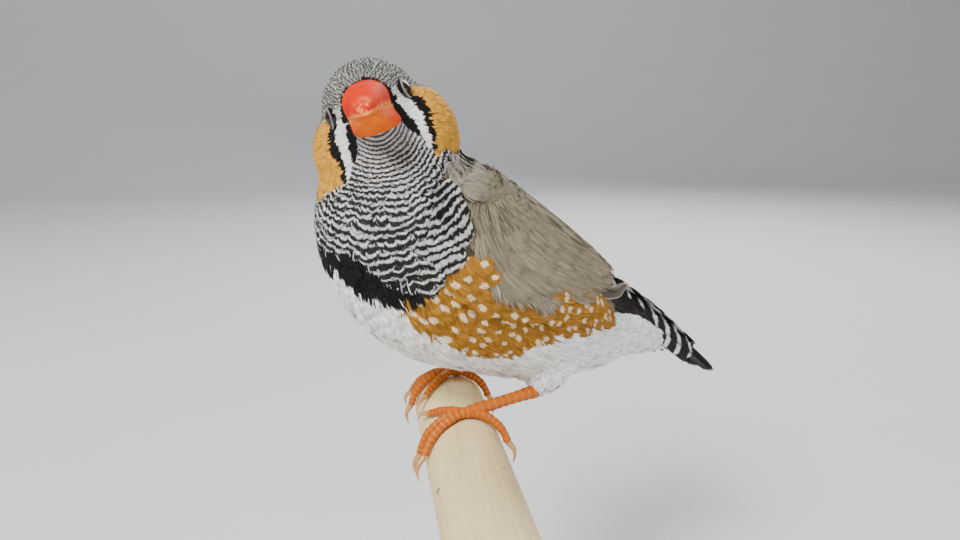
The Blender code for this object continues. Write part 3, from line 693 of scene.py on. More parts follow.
# %% Body markings
CHIN = head_point((8.8, 0.3, 0.0))[0]
RING_REACH = (0.0, 4.0, 10.0, 16.0, 24.0, 60.0)
RING_SPACE = (0.66, 0.66, 0.84, 1.2, 1.45, 1.6)
RING_STEPS = np.linspace(0.0, 60.0, 601)
RING_COUNT = np.concatenate([[0.0], np.cumsum(0.1 / np.interp(RING_STEPS[1:], RING_REACH, RING_SPACE))])

# Edges of the markings. Each is two rows that belong together: the first places along the body, the
# second degrees from the back, or the other way about for those named TOP and END.
BAR_EDGE = ((0.0, 0.8, 1.4, 1.9, 2.3, 2.8, 3.1, 3.4, 3.7), (43, 46, 52, 72, 84, 78, 84, 90, 98))
BLACK_TOP = ((118, 126, 133, 142, 150, 165, 180), (3.60, 3.42, 3.18, 2.95, 2.82, 2.74, 2.72))
BREAST_END = (
    (90, 107, 119, 133, 141, 150, 157, 163, 171, 180),
    (3.52, 3.6, 3.6, 3.54, 3.45, 3.38, 3.28, 3.1, 3.05, 2.98),
)
FLANK_HIGH = (
    (3.4, 3.75, 4.05, 4.33, 4.75, 5.15, 5.45, 5.65, 6.1, 6.6, 7.0, 7.3),
    (90, 84, 92, 95, 86, 80, 68, 60, 66, 64, 60, 62),
)
FLANK_LOW = (
    (3.4, 3.75, 3.9, 4.2, 4.9, 5.1, 5.25, 5.5, 6.0, 6.45, 7.0, 7.4),
    (133, 139, 137, 135, 134, 129, 118, 106, 96, 88, 80, 66),
)
BLACK_EDGE = 116.0
FLANK_END = 7.3
SIDE_GREY_WIDTH = 16.0
SIDE_GREY_END = 6.6
BACK_EDGE = 62.0
RUMP_START = 7.2
HEAD_LOW = -9.8
HEAD_END = 2.6


def waves(points, size, seed):
    """A soft seeded ripple over space, from -1 to 1."""
    chance = np.random.default_rng(seed)
    total = np.zeros(len(points))
    for _ in range(5):
        way = chance.normal(size=3)
        way /= np.linalg.norm(way)
        pitch = FULL_TURN / size
        total += np.sin(points @ way * pitch * chance.uniform(0.7, 1.5) + chance.uniform(0, 6.3))
    return total / 2.6


def paint(points):
    """Colour of each point, and four columns: ring count, bar and spot strength, speckle."""
    count = len(points)
    head = in_head(points)
    place, angle = body_place(points)
    around = np.abs(angle)
    shade = np.tile(np.array(MANTLE), (count, 1))
    bars = np.zeros((count, 4))
    reach = np.linalg.norm(points - CHIN, axis=1)
    ripple = 0.34 * waves(points, 8.0, 11) + 0.16 * waves(points, 3.5, 12)
    ripple *= np.interp(reach, [4.0, 16.0], [0.3, 1.0])
    bars[:, RINGS] = np.interp(reach, RING_STEPS, RING_COUNT) + ripple
    wobble = waves(points, 5.0, 5) + 0.7 * waves(points, 1.6, 6)
    breast_end = np.interp(around, *BREAST_END) + 0.05 * wobble
    barred = (around > np.interp(place, *BAR_EDGE) + 3.0 * wobble) & (place < breast_end)
    strength = 1.0 + 0.12 * np.interp(reach, [4.0, 14.0], [-1.0, 1.0])
    heavy = np.interp(place, [2.7, 3.2], [0.0, 1.0]) * np.interp(around, [98.0, 118.0], [0.0, 1.0])
    bars[barred, STRENGTH] = (strength + 0.22 * heavy)[barred]
    nape = np.interp(place, [1.5, 2.9], [1.0, 0.0])
    shade[~barred] = between(MANTLE, GREY_NAPE, nape)[~barred]
    black = barred & (around > BLACK_EDGE) & (place > np.interp(around, *BLACK_TOP) + 0.06 * wobble)
    mark(shade, bars, black, BLACK)
    behind = place >= breast_end
    low = np.interp(place, *FLANK_LOW) + 2.5 * wobble
    top = np.interp(place, *FLANK_HIGH) + 3.0 * wobble
    shade[behind & (around > low)] = BELLY_WHITE
    flank = behind & (around <= low) & (around > top) & (place < FLANK_END)
    shade[flank] = FLANK
    bars[flank, SPOTS] = 1.0
    side = behind & (around <= top) & (around > top - SIDE_GREY_WIDTH) & (place < SIDE_GREY_END)
    shade[side] = SIDE_GREY
    shade[(place >= RUMP_START) & (around <= BACK_EDGE)] = RUMP_BLACK
    shade[(place >= RUMP_START) & (around > BACK_EDGE)] = BELLY_WHITE
    on_head = (head[:, 2] > HEAD_LOW) & (place < HEAD_END)
    if on_head.any():
        face_shade, face_bars = shade[on_head], bars[on_head]
        paint_face(head[on_head], face_shade, face_bars)
        shade[on_head], bars[on_head] = face_shade, face_bars
    ground = bars[:, STRENGTH] > 0
    near = np.interp(reach, [3.0, 12.0], [0.8, 1.0])
    shade[ground] = np.array(BREAST_GREY) * near[ground, None]
    return shade, bars


skin_bars = paint(skin_points)[1]
print("barred share of the skin:", round(float((skin_bars[:, STRENGTH] > 0).mean()), 2))

# %% [markdown]
# A small feather is modelled as a fan of narrow blades, each a few flat faces that taper to a point.
# The blades copy the clumps of barbs that a real feather splits into, and their free tips give the
# soft ragged edge that a plain leaf shape lacks. A numpy array holds all feathers at once, which is
# far quicker than making objects one by one.

# %% Feathers as fans of blades
BLADE_PLACES = np.array([0.12, 0.5, 0.8, 1.0])
BLADE_WIDTHS = np.array([0.75, 1.0, 0.72])
BLADE_QUADS = np.array([(0, 1, 3, 2), (2, 3, 5, 4)])
BLADE_TIP = np.array([4, 5, 6])
BLADE_CORNERS = 7
BLADE_TRIANGLES = 5
PATCH_SIZE = 0.003


def along_path(path, share):
    """Values at a share of a path given at even steps: path is (steps, feathers, 3)."""
    steps = len(path) - 1
    place = np.clip(share, 0.0, 1.0) * steps
    index = np.minimum(place.astype(int), steps - 1)
    part = (place - index)[..., None]
    which = np.arange(path.shape[1])[:, None]
    return path[index, which] * (1 - part) + path[index + 1, which] * part


def fan(paths, normals, half_widths, lifts, blades, seed, camber=0.12, roll=0.35, ragged=0.12):
    """Blades of many feathers: points (feathers, blades, 7, 3), and how far aside each blade stands."""
    chance = np.random.default_rng(seed)
    count = paths.shape[1]
    across = np.linspace(-1.0, 1.0, blades)[None, :] + chance.uniform(-0.5, 0.5, (count, blades)) / blades
    reach = (1.0 - 0.26 * across**2) * (1.0 - chance.uniform(0, ragged, (count, blades)))
    tilt = chance.uniform(-roll, roll, (count, blades))
    corners = []
    way = normalised(np.gradient(paths, axis=0))
    side = normalised(np.cross(normals, way))
    for k, place in enumerate(BLADE_PLACES):
        share = place * reach
        centre = along_path(paths, share)
        up = normalised(along_path(normals, share))
        out = normalised(along_path(side, share))
        spread = np.sin(0.5 * math.pi * np.minimum(1.0, share / 0.6))
        offset = across * half_widths[:, None] * spread
        lift = lifts[:, None] * np.sin(0.5 * math.pi * np.minimum(1.0, share * 1.1)) ** 0.8
        bow = -camber * half_widths[:, None] * across**2 * spread
        middle = centre + out * offset[..., None] + up * (lift + bow)[..., None]
        if k < len(BLADE_WIDTHS):
            width = half_widths[:, None] / blades * 1.5 * BLADE_WIDTHS[k]
            edge = (out * np.cos(tilt)[..., None] + up * np.sin(tilt)[..., None]) * width[..., None]
            corners += [middle - edge, middle + edge]
        else:
            corners.append(middle)
    return np.stack(corners, axis=2), across


print("stations along a blade:", len(BLADE_PLACES))

# %% [markdown]
# The blades of a whole region become one mesh. Colour and marks are kept at its points, and two flat
# maps lie on it: one along each blade for the fine barbs, and one for baking, on which every feather
# has a small patch of its own.

# %% Meshes of blades
def colour_layer(mesh, name, values):
    """Four values for each point of a mesh, or three that are filled up with a one."""
    values = np.asarray(values, float)
    if values.shape[1] == 3:
        values = np.column_stack([values, np.ones(len(values))])
    layer = mesh.attributes.new(name, "FLOAT_COLOR", "POINT")
    layer.data.foreach_set("color", values.astype(np.float32).ravel())


def map_layer(mesh, name, places, loops):
    """A flat map of a mesh from one place for each point; loops are the points of its corners."""
    layer = mesh.uv_layers.new(name=name)
    layer.data.foreach_set("uv", np.asarray(places, float)[loops].astype(np.float32).ravel())


def blades_mesh(name, corners, shade, marks, unwrap, look):
    """One joined mesh of all blades, with its colours, marks and the two maps."""
    feathers, blades = corners.shape[:2]
    total = feathers * blades
    points = world_points(corners.reshape(-1, 3))
    first = (np.arange(total) * BLADE_CORNERS)[:, None]
    quads = (first[:, :, None] + BLADE_QUADS[None]).reshape(total, 8)
    loops = np.concatenate([quads, first + BLADE_TIP[None]], axis=1).ravel()
    sizes = np.tile([4, 4, 3], total)
    mesh = bpy.data.meshes.new(name)
    mesh.vertices.add(len(points))
    mesh.vertices.foreach_set("co", points.astype(np.float32).ravel())
    mesh.loops.add(len(loops))
    mesh.loops.foreach_set("vertex_index", loops.astype(np.int32))
    mesh.polygons.add(len(sizes))
    mesh.polygons.foreach_set("loop_start", (np.cumsum(sizes) - sizes).astype(np.int32))
    mesh.polygons.foreach_set("use_smooth", np.ones(len(sizes), bool))
    colour_layer(mesh, "plumage_colour", np.repeat(shade, BLADE_CORNERS, axis=0))
    for label, values in marks.items():
        colour_layer(mesh, label, values)
    across = np.tile([0.0, 1.0, 0.0, 1.0, 0.0, 1.0, 0.5], total)
    along = np.tile([0.1, 0.1, 0.5, 0.5, 0.8, 0.8, 1.0], total)
    blade = np.repeat(np.tile(np.arange(blades), feathers), BLADE_CORNERS)
    local = np.stack([(across + blade) / blades, along], axis=1)
    map_layer(mesh, "Vane", local, loops)
    patch = np.repeat(unwrap, blades * BLADE_CORNERS, axis=0) + (local - 0.5) * PATCH_SIZE
    map_layer(mesh, "OFBake", patch, loops)
    mesh.update()
    mesh.validate()
    made = new_object(name, mesh)
    made.data.materials.append(look)
    return made


print("corners of a blade:", BLADE_CORNERS)

# %% [markdown]
# Feathers are tiny round the bill, and grow longer and wider with the distance from it. They point
# away from the bill on the head, away from the chin on the throat, toward the tail on the body, and
# down the thighs.

# %% Size and lie
SIZE_REACH = (3.0, 6.0, 10.0, 16.0, 24.0, 34.0)
SIZE_LENGTH = (0.8, 1.2, 1.9, 2.9, 3.9, 4.6)
SIZE_WIDTH = (0.28, 0.38, 0.55, 1.0, 1.5, 1.8)
SIZE_SPACE = (0.30, 0.36, 0.48, 0.66, 0.88, 1.05)
LIE_CENTRE = head_point((11.0, 0.0, 1.0))[0]


def feather_size(points):
    """Length, half width and spacing of the feathers rooted at each point."""
    from_bill = np.linalg.norm(in_head(points) - BILL_ROOT, axis=1)
    return tuple(np.interp(from_bill, SIZE_REACH, row) for row in (SIZE_LENGTH, SIZE_WIDTH, SIZE_SPACE))


def on_thigh(points):
    """How far each point belongs to a thigh, 0 to 1, and the way down that thigh."""
    share = np.zeros(len(points))
    way = np.zeros((len(points), 3))
    for name in SIDES:
        top, _, leg_way = thigh_line(name)
        along = np.clip((points - top) @ leg_way, 0.0, None)
        off = np.linalg.norm(points - top - along[:, None] * leg_way, axis=1)
        belongs = np.interp(off, [3.5, 6.0], [1.0, 0.0]) * np.interp(along, [2.0, 5.0], [0.0, 1.0])
        closer = belongs > share
        share[closer] = belongs[closer]
        way[closer] = leg_way
    return share, way


def lie_of(points, normals):
    """The way the feathers point: away from the bill on the head, and toward the tail on the body."""
    head_way = normalised(points - LIE_CENTRE)
    place, _ = body_place(points)
    index = np.clip((place / (len(BODY) - 1) * AXIS_STEPS).astype(int), 0, AXIS_STEPS)
    way = AXIS_WAYS[index]
    body_way = np.stack([way[:, 0], np.zeros(len(points)), way[:, 1]], axis=1)
    chin_way = normalised(points - CHIN)
    share = np.interp(place, [2.0, 5.5], [0.0, 1.0])[:, None]
    on_head = np.interp(in_head(points)[:, 2], [-10.0, -5.0], [0.0, 1.0])[:, None]
    mixed = normalised(chin_way * (1 - share) + body_way * share)
    mixed = normalised(mixed * (1 - on_head) + head_way * on_head)
    share, way = on_thigh(points)
    mixed = mixed * (1 - share[:, None]) + way * share[:, None]
    flat = mixed - normals * np.sum(mixed * normals, axis=1, keepdims=True)
    return normalised(flat)


print("feather lengths, mm:", SIZE_LENGTH[0], "to", SIZE_LENGTH[-1])

# %% [markdown]
# Feathers are rooted all over the skin, closer together where they are small. A random scatter is
# thinned until no two roots stand nearer than their own spacing, which looks grown and leaves no bald
# spots.

# %% Scatter of the roots
def snap(points):
    """The nearest points of the skin, and its normals there."""
    found = np.empty((len(points), 3))
    way = np.empty((len(points), 3))
    for i, point in enumerate(points):
        found[i], way[i] = skin_tree.find_nearest(Vector(point))[:2]
    return found, way


SKIN_TRIANGLES = np.array([
    (f.vertices[0], f.vertices[a], f.vertices[a + 1])
    for f in skin.data.polygons for a in range(1, len(f.vertices) - 1)
])


def scatter(count, seed):
    """Random points of the skin, closer together where feathers are small."""
    chance = np.random.default_rng(seed)
    corners = skin_points[SKIN_TRIANGLES]
    first, second = corners[:, 1] - corners[:, 0], corners[:, 2] - corners[:, 0]
    area = np.linalg.norm(np.cross(first, second), axis=1)
    weight = area / feather_size(corners.mean(axis=1))[2] ** 2
    picked = chance.choice(len(area), size=count, p=weight / weight.sum())
    u, v = chance.random(count), chance.random(count)
    over = u + v > 1
    u[over], v[over] = 1 - u[over], 1 - v[over]
    return corners[picked, 0] + first[picked] * u[:, None] + second[picked] * v[:, None]


def thinned(points, spacing):
    """Keeps points that stand at least their spacing from those already kept."""
    tree = KDTree(len(points))
    for i, point in enumerate(points):
        tree.insert(point, i)
    tree.balance()
    taken = np.zeros(len(points), bool)
    kept = []
    for i, (point, space) in enumerate(zip(points, spacing)):
        if not taken[i]:
            kept.append(i)
            for _, j, _ in tree.find_range(point, space):
                taken[j] = True
    return np.array(kept)


print("skin triangles:", len(SKIN_TRIANGLES))

# %% [markdown]
# Round each eye and at the root of the bill no feather grows, so that lids and horn stay clear. The
# same is so under the folded wing, where none would be seen.

# %% Bare places
EYE_RADIUS = 2.1
EYE_CENTRE = (5.1, 5.25, 2.9)
EYE_LOOK = (0.3, 1.0, 0.05)
LID_RADIUS = 1.5
WING_START = 1.95
WING_END = 7.85
# The folded wing from shoulder to tip: upper and lower edge in degrees, and height over the body
WING_EDGES = np.array([
    (58.0, 79.0, 0.1),
    (28.0, 91.0, 0.2),
    (11.0, 86.0, 0.3),
    (6.0, 74.0, 0.6),
    (5.0, 57.0, 1.4),
    (8.0, 33.0, 2.7),
])
WING_MARGIN = 9.0
LID_MARGIN = 0.15
BILL_LEVEL = 1.1
# Half width, height over and depth under that level
BILL_BARE = (3.9, 5.2, 2.9)
CANDIDATES = 150000


def eye_frame(side):
    """Centre of an eye, the way it looks, and two ways across it, all in the head's frame."""
    centre = np.array((EYE_CENTRE[0], EYE_CENTRE[1] * side, EYE_CENTRE[2]))
    look = np.array((EYE_LOOK[0], EYE_LOOK[1] * side, EYE_LOOK[2]))
    look /= np.linalg.norm(look)
    ahead = np.cross(look, (0.0, 0.0, 1.0))
    ahead /= np.linalg.norm(ahead)
    return centre, look, ahead, np.cross(ahead, look)


def near_eye(head, margin):
    found = np.zeros(len(head), bool)
    for side in SIDES.values():
        centre, look, _, _ = eye_frame(side)
        along = (head - centre) @ look
        off = np.linalg.norm(head - centre - along[:, None] * look, axis=1)
        found |= (off < LID_RADIUS + margin) & (along > 0)
    return found


def wing_row(along, end=1.0):
    """The wing's edges and height at a share of its length."""
    return spline(WING_EDGES, np.clip(along, 0.0, end) * (len(WING_EDGES) - 1))


def bare(points):
    """Which points carry no feather."""
    head = in_head(points)
    wide, over, under = BILL_BARE
    rise = head[:, 2] - BILL_LEVEL
    bill = (head[:, 1] / wide) ** 2 + (rise / np.where(rise > 0.0, over, under)) ** 2
    found = near_eye(head, LID_MARGIN) | ((bill < 0.9) & (head[:, 0] > 4.0))
    place, angle = body_place(points)
    along = (place - WING_START) / (WING_END - WING_START)
    row = wing_row(along)
    around = np.abs(angle)
    low, high = row[:, 0] + WING_MARGIN, row[:, 1] - WING_MARGIN
    found |= (along > 0.1) & (along < 1.0) & (around > low) & (around < high)
    return found


candidates = scatter(CANDIDATES, 21)
candidates = candidates[~bare(candidates)]
roots = candidates[thinned(candidates, feather_size(candidates)[2])]
roots, root_normals = snap(roots)
print("feathers on the skin:", len(roots))

# %% [markdown]
# Each feather walks over the skin in three steps, and after every step it is brought back to the
# nearest place of the skin, so its blades lie on the curve of the body. Feathers lie a little apart in
# direction, as they do on a living bird that has just shaken itself.

# %% Paths of the feathers
STEPS = 3
UNRULY = 7.0
THIGH_SHORTER = 0.45
THIGH_NARROWER = 0.35


def walk(points, normals, lengths, seed):
    chance = np.random.default_rng(seed)
    stray = np.radians(chance.normal(0.0, UNRULY, len(points)))
    paths, ways = [points], [normals]
    for _ in range(STEPS):
        way = lie_of(points, normals)
        aside = np.cross(normals, way)
        way = way * np.cos(stray)[:, None] + aside * np.sin(stray)[:, None]
        points, normals = snap(points + way * (lengths / STEPS)[:, None])
        paths.append(points)
        ways.append(normals)
    return np.stack(paths), np.stack(ways)


root_length, root_width, _ = feather_size(roots)
thigh_share, _ = on_thigh(roots)
uneven = np.random.default_rng(3).uniform(0.88, 1.12, len(roots))
root_length = root_length * (1.0 - THIGH_SHORTER * thigh_share) * uneven
root_width = root_width * (1.0 - THIGH_NARROWER * thigh_share)
paths, path_normals = walk(roots, root_normals, root_length, 4)
print("mean length, mm:", round(float(root_length.mean()), 2))

# %% [markdown]
# The coat is split into pieces by region, each a mesh of its own. A number of blades suited to the
# region keeps the whole within reason: five on the tiny face feathers, thirteen on the broad breast.

# %% Regions of the coat
# Blades of a feather, and how much their tone varies
REGIONS = {
    "face_left": (5, 0.12), "face_right": (5, 0.12), "crown": (7, 0.5), "throat": (9, 0.35),
    "breast": (13, 0.32), "back": (11, 0.22), "flank_left": (13, 0.25), "flank_right": (13, 0.25),
    "belly": (11, 0.08), "rump": (9, 0.2),
}
BREAST_REAR = 3.6
THROAT_REAR = 1.9
BELLY_EDGE = 130.0
COAT_HEAD_LOW = -8.6
FACE_TOP = 3.2
FACE_BACK = -8.0


def of_head(points):
    """Which points belong to the coat of the head."""
    return (in_head(points)[:, 2] > COAT_HEAD_LOW) & (body_place(points)[0] < HEAD_END)


def region_of(points):
    head = in_head(points)
    place, angle = body_place(points)
    around = np.abs(angle)
    region = np.full(len(points), "belly", dtype=object)
    region[around < BACK_EDGE] = "back"
    region[(place < BREAST_REAR) & (around >= BACK_EDGE)] = "breast"
    region[(place < THROAT_REAR) & (around >= BACK_EDGE)] = "throat"
    side = (place >= BREAST_REAR) & (around >= BACK_EDGE) & (around < BELLY_EDGE)
    region[side & (angle > 0)] = "flank_left"
    region[side & (angle <= 0)] = "flank_right"
    region[place >= RUMP_START] = "rump"
    region[on_thigh(points)[0] > 0.5] = "belly"
    crown = of_head(points)
    region[crown] = "crown"
    face = crown & (head[:, 2] < FACE_TOP) & (head[:, 0] > FACE_BACK)
    region[face & (head[:, 1] > 0)] = "face_left"
    region[face & (head[:, 1] <= 0)] = "face_right"
    return region


def unwrap_of(points):
    """A place on a map of the skin: along the body and round it, with the head on a strip of its own."""
    place, angle = body_place(points)
    u = 0.30 + 0.68 * place / (len(BODY) - 1)
    v = (angle + 180.0) / 360.0
    strip = of_head(points)
    head = in_head(points)[strip]
    turn = np.arccos(np.clip(head[:, 0] / np.linalg.norm(head, axis=1), -1, 1))
    u[strip] = 0.02 + 0.25 * turn / math.pi
    v[strip] = (np.arctan2(head[:, 1], head[:, 2]) + math.pi) / FULL_TURN
    return np.stack([u, v * 0.98 + 0.01], axis=1)


def marks_of(points, bars, seeds):
    """Two sets of marks for the shader: bars and chance, then a flat map of the flank in millimetres."""
    place, angle = body_place(points)
    marks = np.column_stack([bars[:, :SPECKLE], seeds])
    flat = np.zeros((len(points), 4))
    flat[:, 0] = np.interp(place, AXIS_PLACES, AXIS_REACH)
    flat[:, 1] = np.radians(angle) * np.interp(place, np.arange(len(BODY)), BODY[:, 2:].mean(axis=1))
    return {"plumage_marks": marks, "flank_map": flat}


regions = region_of(roots)
for name in sorted(REGIONS):
    print(name, int((regions == name).sum()), end="; ")
print()

# %% [markdown]
# Four effects make the looks of feathers: fine barbs along a vane, dark lines at even steps of a
# count, pale oval spots on a flat map, and a shade over a colour. Each is a group.

# %% Shader groups for plumage
BARB_PHASE = 6.283
BLADE_BARBS = dict(Count=14.0, Slant=3.0)
BARB_SHADE = (0.16, 0.84)
BAR_SHARE = (0.85, 0.03)
PALE_STRENGTH = 0.4
CHANCE_SHADE = (0.3, 0.85)
SPOT_CELL = 2.0
SPOT_SIZE = 0.19
SPOT_STRETCH = (0.70, 0.90, 0.0)
SPOT_CHANCE = 0.62
DARK_BAR = (0.018, 0.016, 0.015)
PALE_EDGE = (0.86, 0.85, 0.82)
SPOT_WHITE = (0.80, 0.60, 0.38)


def from_middle(tree, value):
    """How far a value stands from one half."""
    return add_math(tree, "ABSOLUTE", add_math(tree, "SUBTRACT", value, 0.5))


def map_parts(tree, vector):
    """The two parts of a place on a flat map."""
    node = tree.nodes.new("ShaderNodeSeparateXYZ")
    join(tree, vector, node.inputs[0])
    return node.outputs["X"], node.outputs["Y"]


def vane_place(tree):
    node = tree.nodes.new("ShaderNodeUVMap")
    node.uv_map = "Vane"
    return node.outputs[0]


def barbs_group():
    """Fine barbs along a vane from its own map: a value round 0.5 for shade and for height."""
    group, start, end = shader_group(
        "barb_lines",
        [("Map", VECTOR, None), ("Count", FLOAT, 60.0), ("Slant", FLOAT, 6.0)],
        [("Shade", FLOAT)],
    )
    across, along = map_parts(group, start.outputs["Map"])
    slanted = add_math(group, "MULTIPLY", from_middle(group, across), start.outputs["Slant"])
    run = add_math(group, "MULTIPLY", along, start.outputs["Count"])
    phase = add_math(group, "SUBTRACT", run, slanted)
    ripple = add_math(group, "SINE", add_math(group, "MULTIPLY", phase, BARB_PHASE))
    join(group, add_math(group, "MULTIPLY_ADD", ripple, 0.5, 0.5), end.inputs["Shade"])
    return group


def rings_group():
    """Dark lines halfway between whole numbers of a count, with a share for the line and a softness."""
    group, start, end = shader_group(
        "ring_lines",
        [("Count", FLOAT, 0.0), ("Line", FLOAT, 0.3), ("Softness", FLOAT, 0.12)],
        [("Dark", FLOAT), ("Pale", FLOAT)],
    )
    part = add_math(group, "FRACT", start.outputs["Count"])
    off = add_math(group, "MULTIPLY", from_middle(group, part), 2.0)
    low = add_math(group, "SUBTRACT", start.outputs["Line"], start.outputs["Softness"])
    high = add_math(group, "ADD", start.outputs["Line"], start.outputs["Softness"])
    join(group, add_math(group, "SUBTRACT", 1.0, add_ramp(group, off, low, high)), end.inputs["Dark"])
    join(group, add_ramp(group, off, 0.6, 1.0), end.inputs["Pale"])
    return group


def spots_group():
    """Pale oval spots on a flat map in millimetres."""
    group, start, end = shader_group(
        "oval_spots",
        [("Map", VECTOR, None), ("Cell", FLOAT, SPOT_CELL), ("Size", FLOAT, SPOT_SIZE)],
        [("Spot", FLOAT)],
    )
    bend = add_noise(group, start.outputs["Map"], 0.9, 2.0)
    bent = add_vector_math(group, "ADD", start.outputs["Map"], bend)
    cells = group.nodes.new("ShaderNodeTexVoronoi")
    cells.voronoi_dimensions = "2D"
    cells.inputs["Randomness"].default_value = SPOT_CHANCE
    join(group, add_vector_math(group, "MULTIPLY", bent, SPOT_STRETCH), cells.inputs["Vector"])
    join(group, add_math(group, "DIVIDE", 1.0, start.outputs["Cell"]), cells.inputs["Scale"])
    edge = add_math(group, "ADD", start.outputs["Size"], 0.08)
    outside = add_ramp(group, cells.outputs["Distance"], start.outputs["Size"], edge)
    join(group, add_math(group, "SUBTRACT", 1.0, outside), end.inputs["Spot"])
    return group


def shaded_group():
    """A colour made darker or lighter by a value."""
    group, start, end = shader_group(
        "shaded_colour", [("Colour", COLOUR, None), ("Shade", FLOAT, 1.0)], [("Colour", COLOUR)]
    )
    tint = group.nodes.new("ShaderNodeCombineColor")
    for socket in tint.inputs:
        join(group, start.outputs["Shade"], socket)
    colour = add_mix(group, 1.0, start.outputs["Colour"], tint.outputs[0], "MULTIPLY")
    join(group, colour, end.inputs["Colour"])
    return group


barbs, rings, spots, shaded = barbs_group(), rings_group(), spots_group(), shaded_group()
print("groups:", [g.name for g in bpy.data.node_groups])

# %% [markdown]
# The plumage material reads the ground colour of each blade and adds what must be crisp: the dark
# lines that ring the throat and breast, the pale spots of the flank, and fine barbs along every blade.
# A line is wider where the strength of the bars is over one.

# %% Plumage
def finish_colour(tree, shader, colour, shade):
    """Joins a colour with its shade to the surface."""
    node = use_group(tree, shaded, Colour=colour, Shade=shade)
    join(tree, node.outputs["Colour"], shader.inputs["Base Color"])


def plumage_material():
    made, tree, shader = new_material("plumage", 0.7, specular=0.15)
    count, bar_strength, spot_strength = attribute_parts(tree, "plumage_marks")
    chance = attribute(tree, "plumage_marks", "Alpha")
    uneven = add_noise(tree, object_place(tree), 170.0, 2.0)
    share = add_math(tree, "MULTIPLY_ADD", uneven, *BAR_SHARE)
    heavy = add_math(tree, "MAXIMUM", add_math(tree, "SUBTRACT", bar_strength, 1.0), 0.0)
    strength = add_math(tree, "MINIMUM", bar_strength, 1.0)
    lines = use_group(tree, rings, Count=count, Line=add_math(tree, "ADD", share, heavy))
    dark = add_math(tree, "MULTIPLY", lines.outputs["Dark"], strength)
    pale = add_math(tree, "MULTIPLY", lines.outputs["Pale"], strength)
    pale = add_math(tree, "MULTIPLY", pale, PALE_STRENGTH)
    colour = add_mix(tree, pale, attribute(tree, "plumage_colour"), PALE_EDGE)
    colour = add_mix(tree, dark, colour, DARK_BAR)
    oval = use_group(tree, spots, Map=attribute(tree, "flank_map"))
    spot = add_math(tree, "MULTIPLY", oval.outputs["Spot"], spot_strength)
    colour = add_mix(tree, spot, colour, SPOT_WHITE)
    fine = use_group(tree, barbs, Map=vane_place(tree), **BLADE_BARBS).outputs["Shade"]
    shade = add_math(tree, "MULTIPLY_ADD", fine, *BARB_SHADE)
    shade = add_math(tree, "MULTIPLY", shade, add_math(tree, "MULTIPLY_ADD", chance, *CHANCE_SHADE))
    finish_colour(tree, shader, colour, shade)
    bump(tree, shader, fine, 0.3, 0.00003)
    return made


plumage = plumage_material()
print("nodes of the plumage:", len(plumage.node_tree.nodes))

# %% [markdown]
# Now the coat itself: one piece for each region. A blade has one ground colour, asked for at its
# middle, so the edges of the markings break up along the blades. On the crown the outer blades of a
# feather are lighter than its middle ones, which makes the speckle.

# %% Coat of the body
LIFT_SHARE = 0.95
LIFT_LEAST = 0.55
SCALLOP = 0.45
CALM_WHITE = 0.4


def coat_piece(name, chosen, blades, varied, seed):
    """The coat of one region; varied is how much the tone of its blades varies."""
    chance = np.random.default_rng(seed)
    path, way = paths[:, chosen], path_normals[:, chosen]
    lift = coat_depth(path[-1]) * LIFT_SHARE * chance.uniform(LIFT_LEAST, 1.0, len(chosen))
    corners, across = fan(path, way, root_width[chosen], lift, blades, seed)
    middle = 0.5 * (corners[:, :, 4] + corners[:, :, 5])
    shade, ground = paint(middle.reshape(-1, 3))
    calm = np.where(shade[:, 0].reshape(across.shape) > 0.6, CALM_WHITE, 1.0)
    tone = 1.0 + calm * varied * chance.uniform(-1.0, 1.0, across.shape)
    speckle = ground[:, SPECKLE].reshape(across.shape)
    tone *= 1.0 + speckle * (np.interp(np.abs(across), [0.25, 0.6], [0.22, 1.65]) - 1.0)
    shade = shade * tone.reshape(-1, 1)
    vertices = corners.reshape(-1, 3)
    bars = paint(vertices)[1].reshape(len(chosen), blades, BLADE_CORNERS, 4)
    bars[..., STRENGTH:SPECKLE] = bars[:, :, 4:5, STRENGTH:SPECKLE]
    spread = np.interp(np.linalg.norm(path[0] - CHIN, axis=1), [3.0, 12.0], [0.4, 1.0])[:, None]
    scallop = SCALLOP * across**2 + chance.normal(0, 0.08, (len(chosen), 1))
    scallop = (scallop + chance.normal(0, 0.04, across.shape)) * spread
    bars[..., RINGS] += scallop[..., None]
    seeds = np.repeat(chance.random(across.size), BLADE_CORNERS)
    marks = marks_of(vertices, bars.reshape(-1, 4), seeds)
    return blades_mesh("feathers_" + name, corners, shade, marks, unwrap_of(path[0]), plumage)


total = 0
for index, (name, (blades, varied)) in enumerate(sorted(REGIONS.items())):
    chosen = np.flatnonzero(regions == name)
    if len(chosen):
        piece = coat_piece(name, chosen, blades, varied, 40 + index)
        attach(piece, "root")
        total += len(chosen) * blades * BLADE_TRIANGLES
print("coat triangles:", total)

# %% [markdown]
# The skin takes the same marks as the coat, point by point, and then stands in for the flesh of the
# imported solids.

# %% Skin in place
def finish_skin():
    shade, bars = paint(skin_points)
    marks = marks_of(skin_points, bars, np.full(len(skin_points), 0.5))
    mesh = skin.data
    colour_layer(mesh, "plumage_colour", shade * 0.8)
    for label, values in marks.items():
        colour_layer(mesh, label, values)
    mesh.vertices.foreach_set("co", world_points(skin_points).astype(np.float32).ravel())
    mesh.update()
    mesh.flip_normals()
    mesh.shade_smooth()
    made, tree, shader = new_material("skin_under_coat", 0.8)
    count, strength, _ = attribute_parts(tree, "plumage_marks")
    lines = use_group(tree, rings, Count=count)
    dark = add_math(tree, "MULTIPLY", lines.outputs["Dark"], strength)
    colour = add_mix(tree, dark, attribute(tree, "plumage_colour"), DARK_BAR)
    join(tree, colour, shader.inputs["Base Color"])
    mesh.materials.clear()
    mesh.materials.append(made)
    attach(skin, "root")
    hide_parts("head", "neck", "torso", "rump", "thigh_left", "thigh_right")


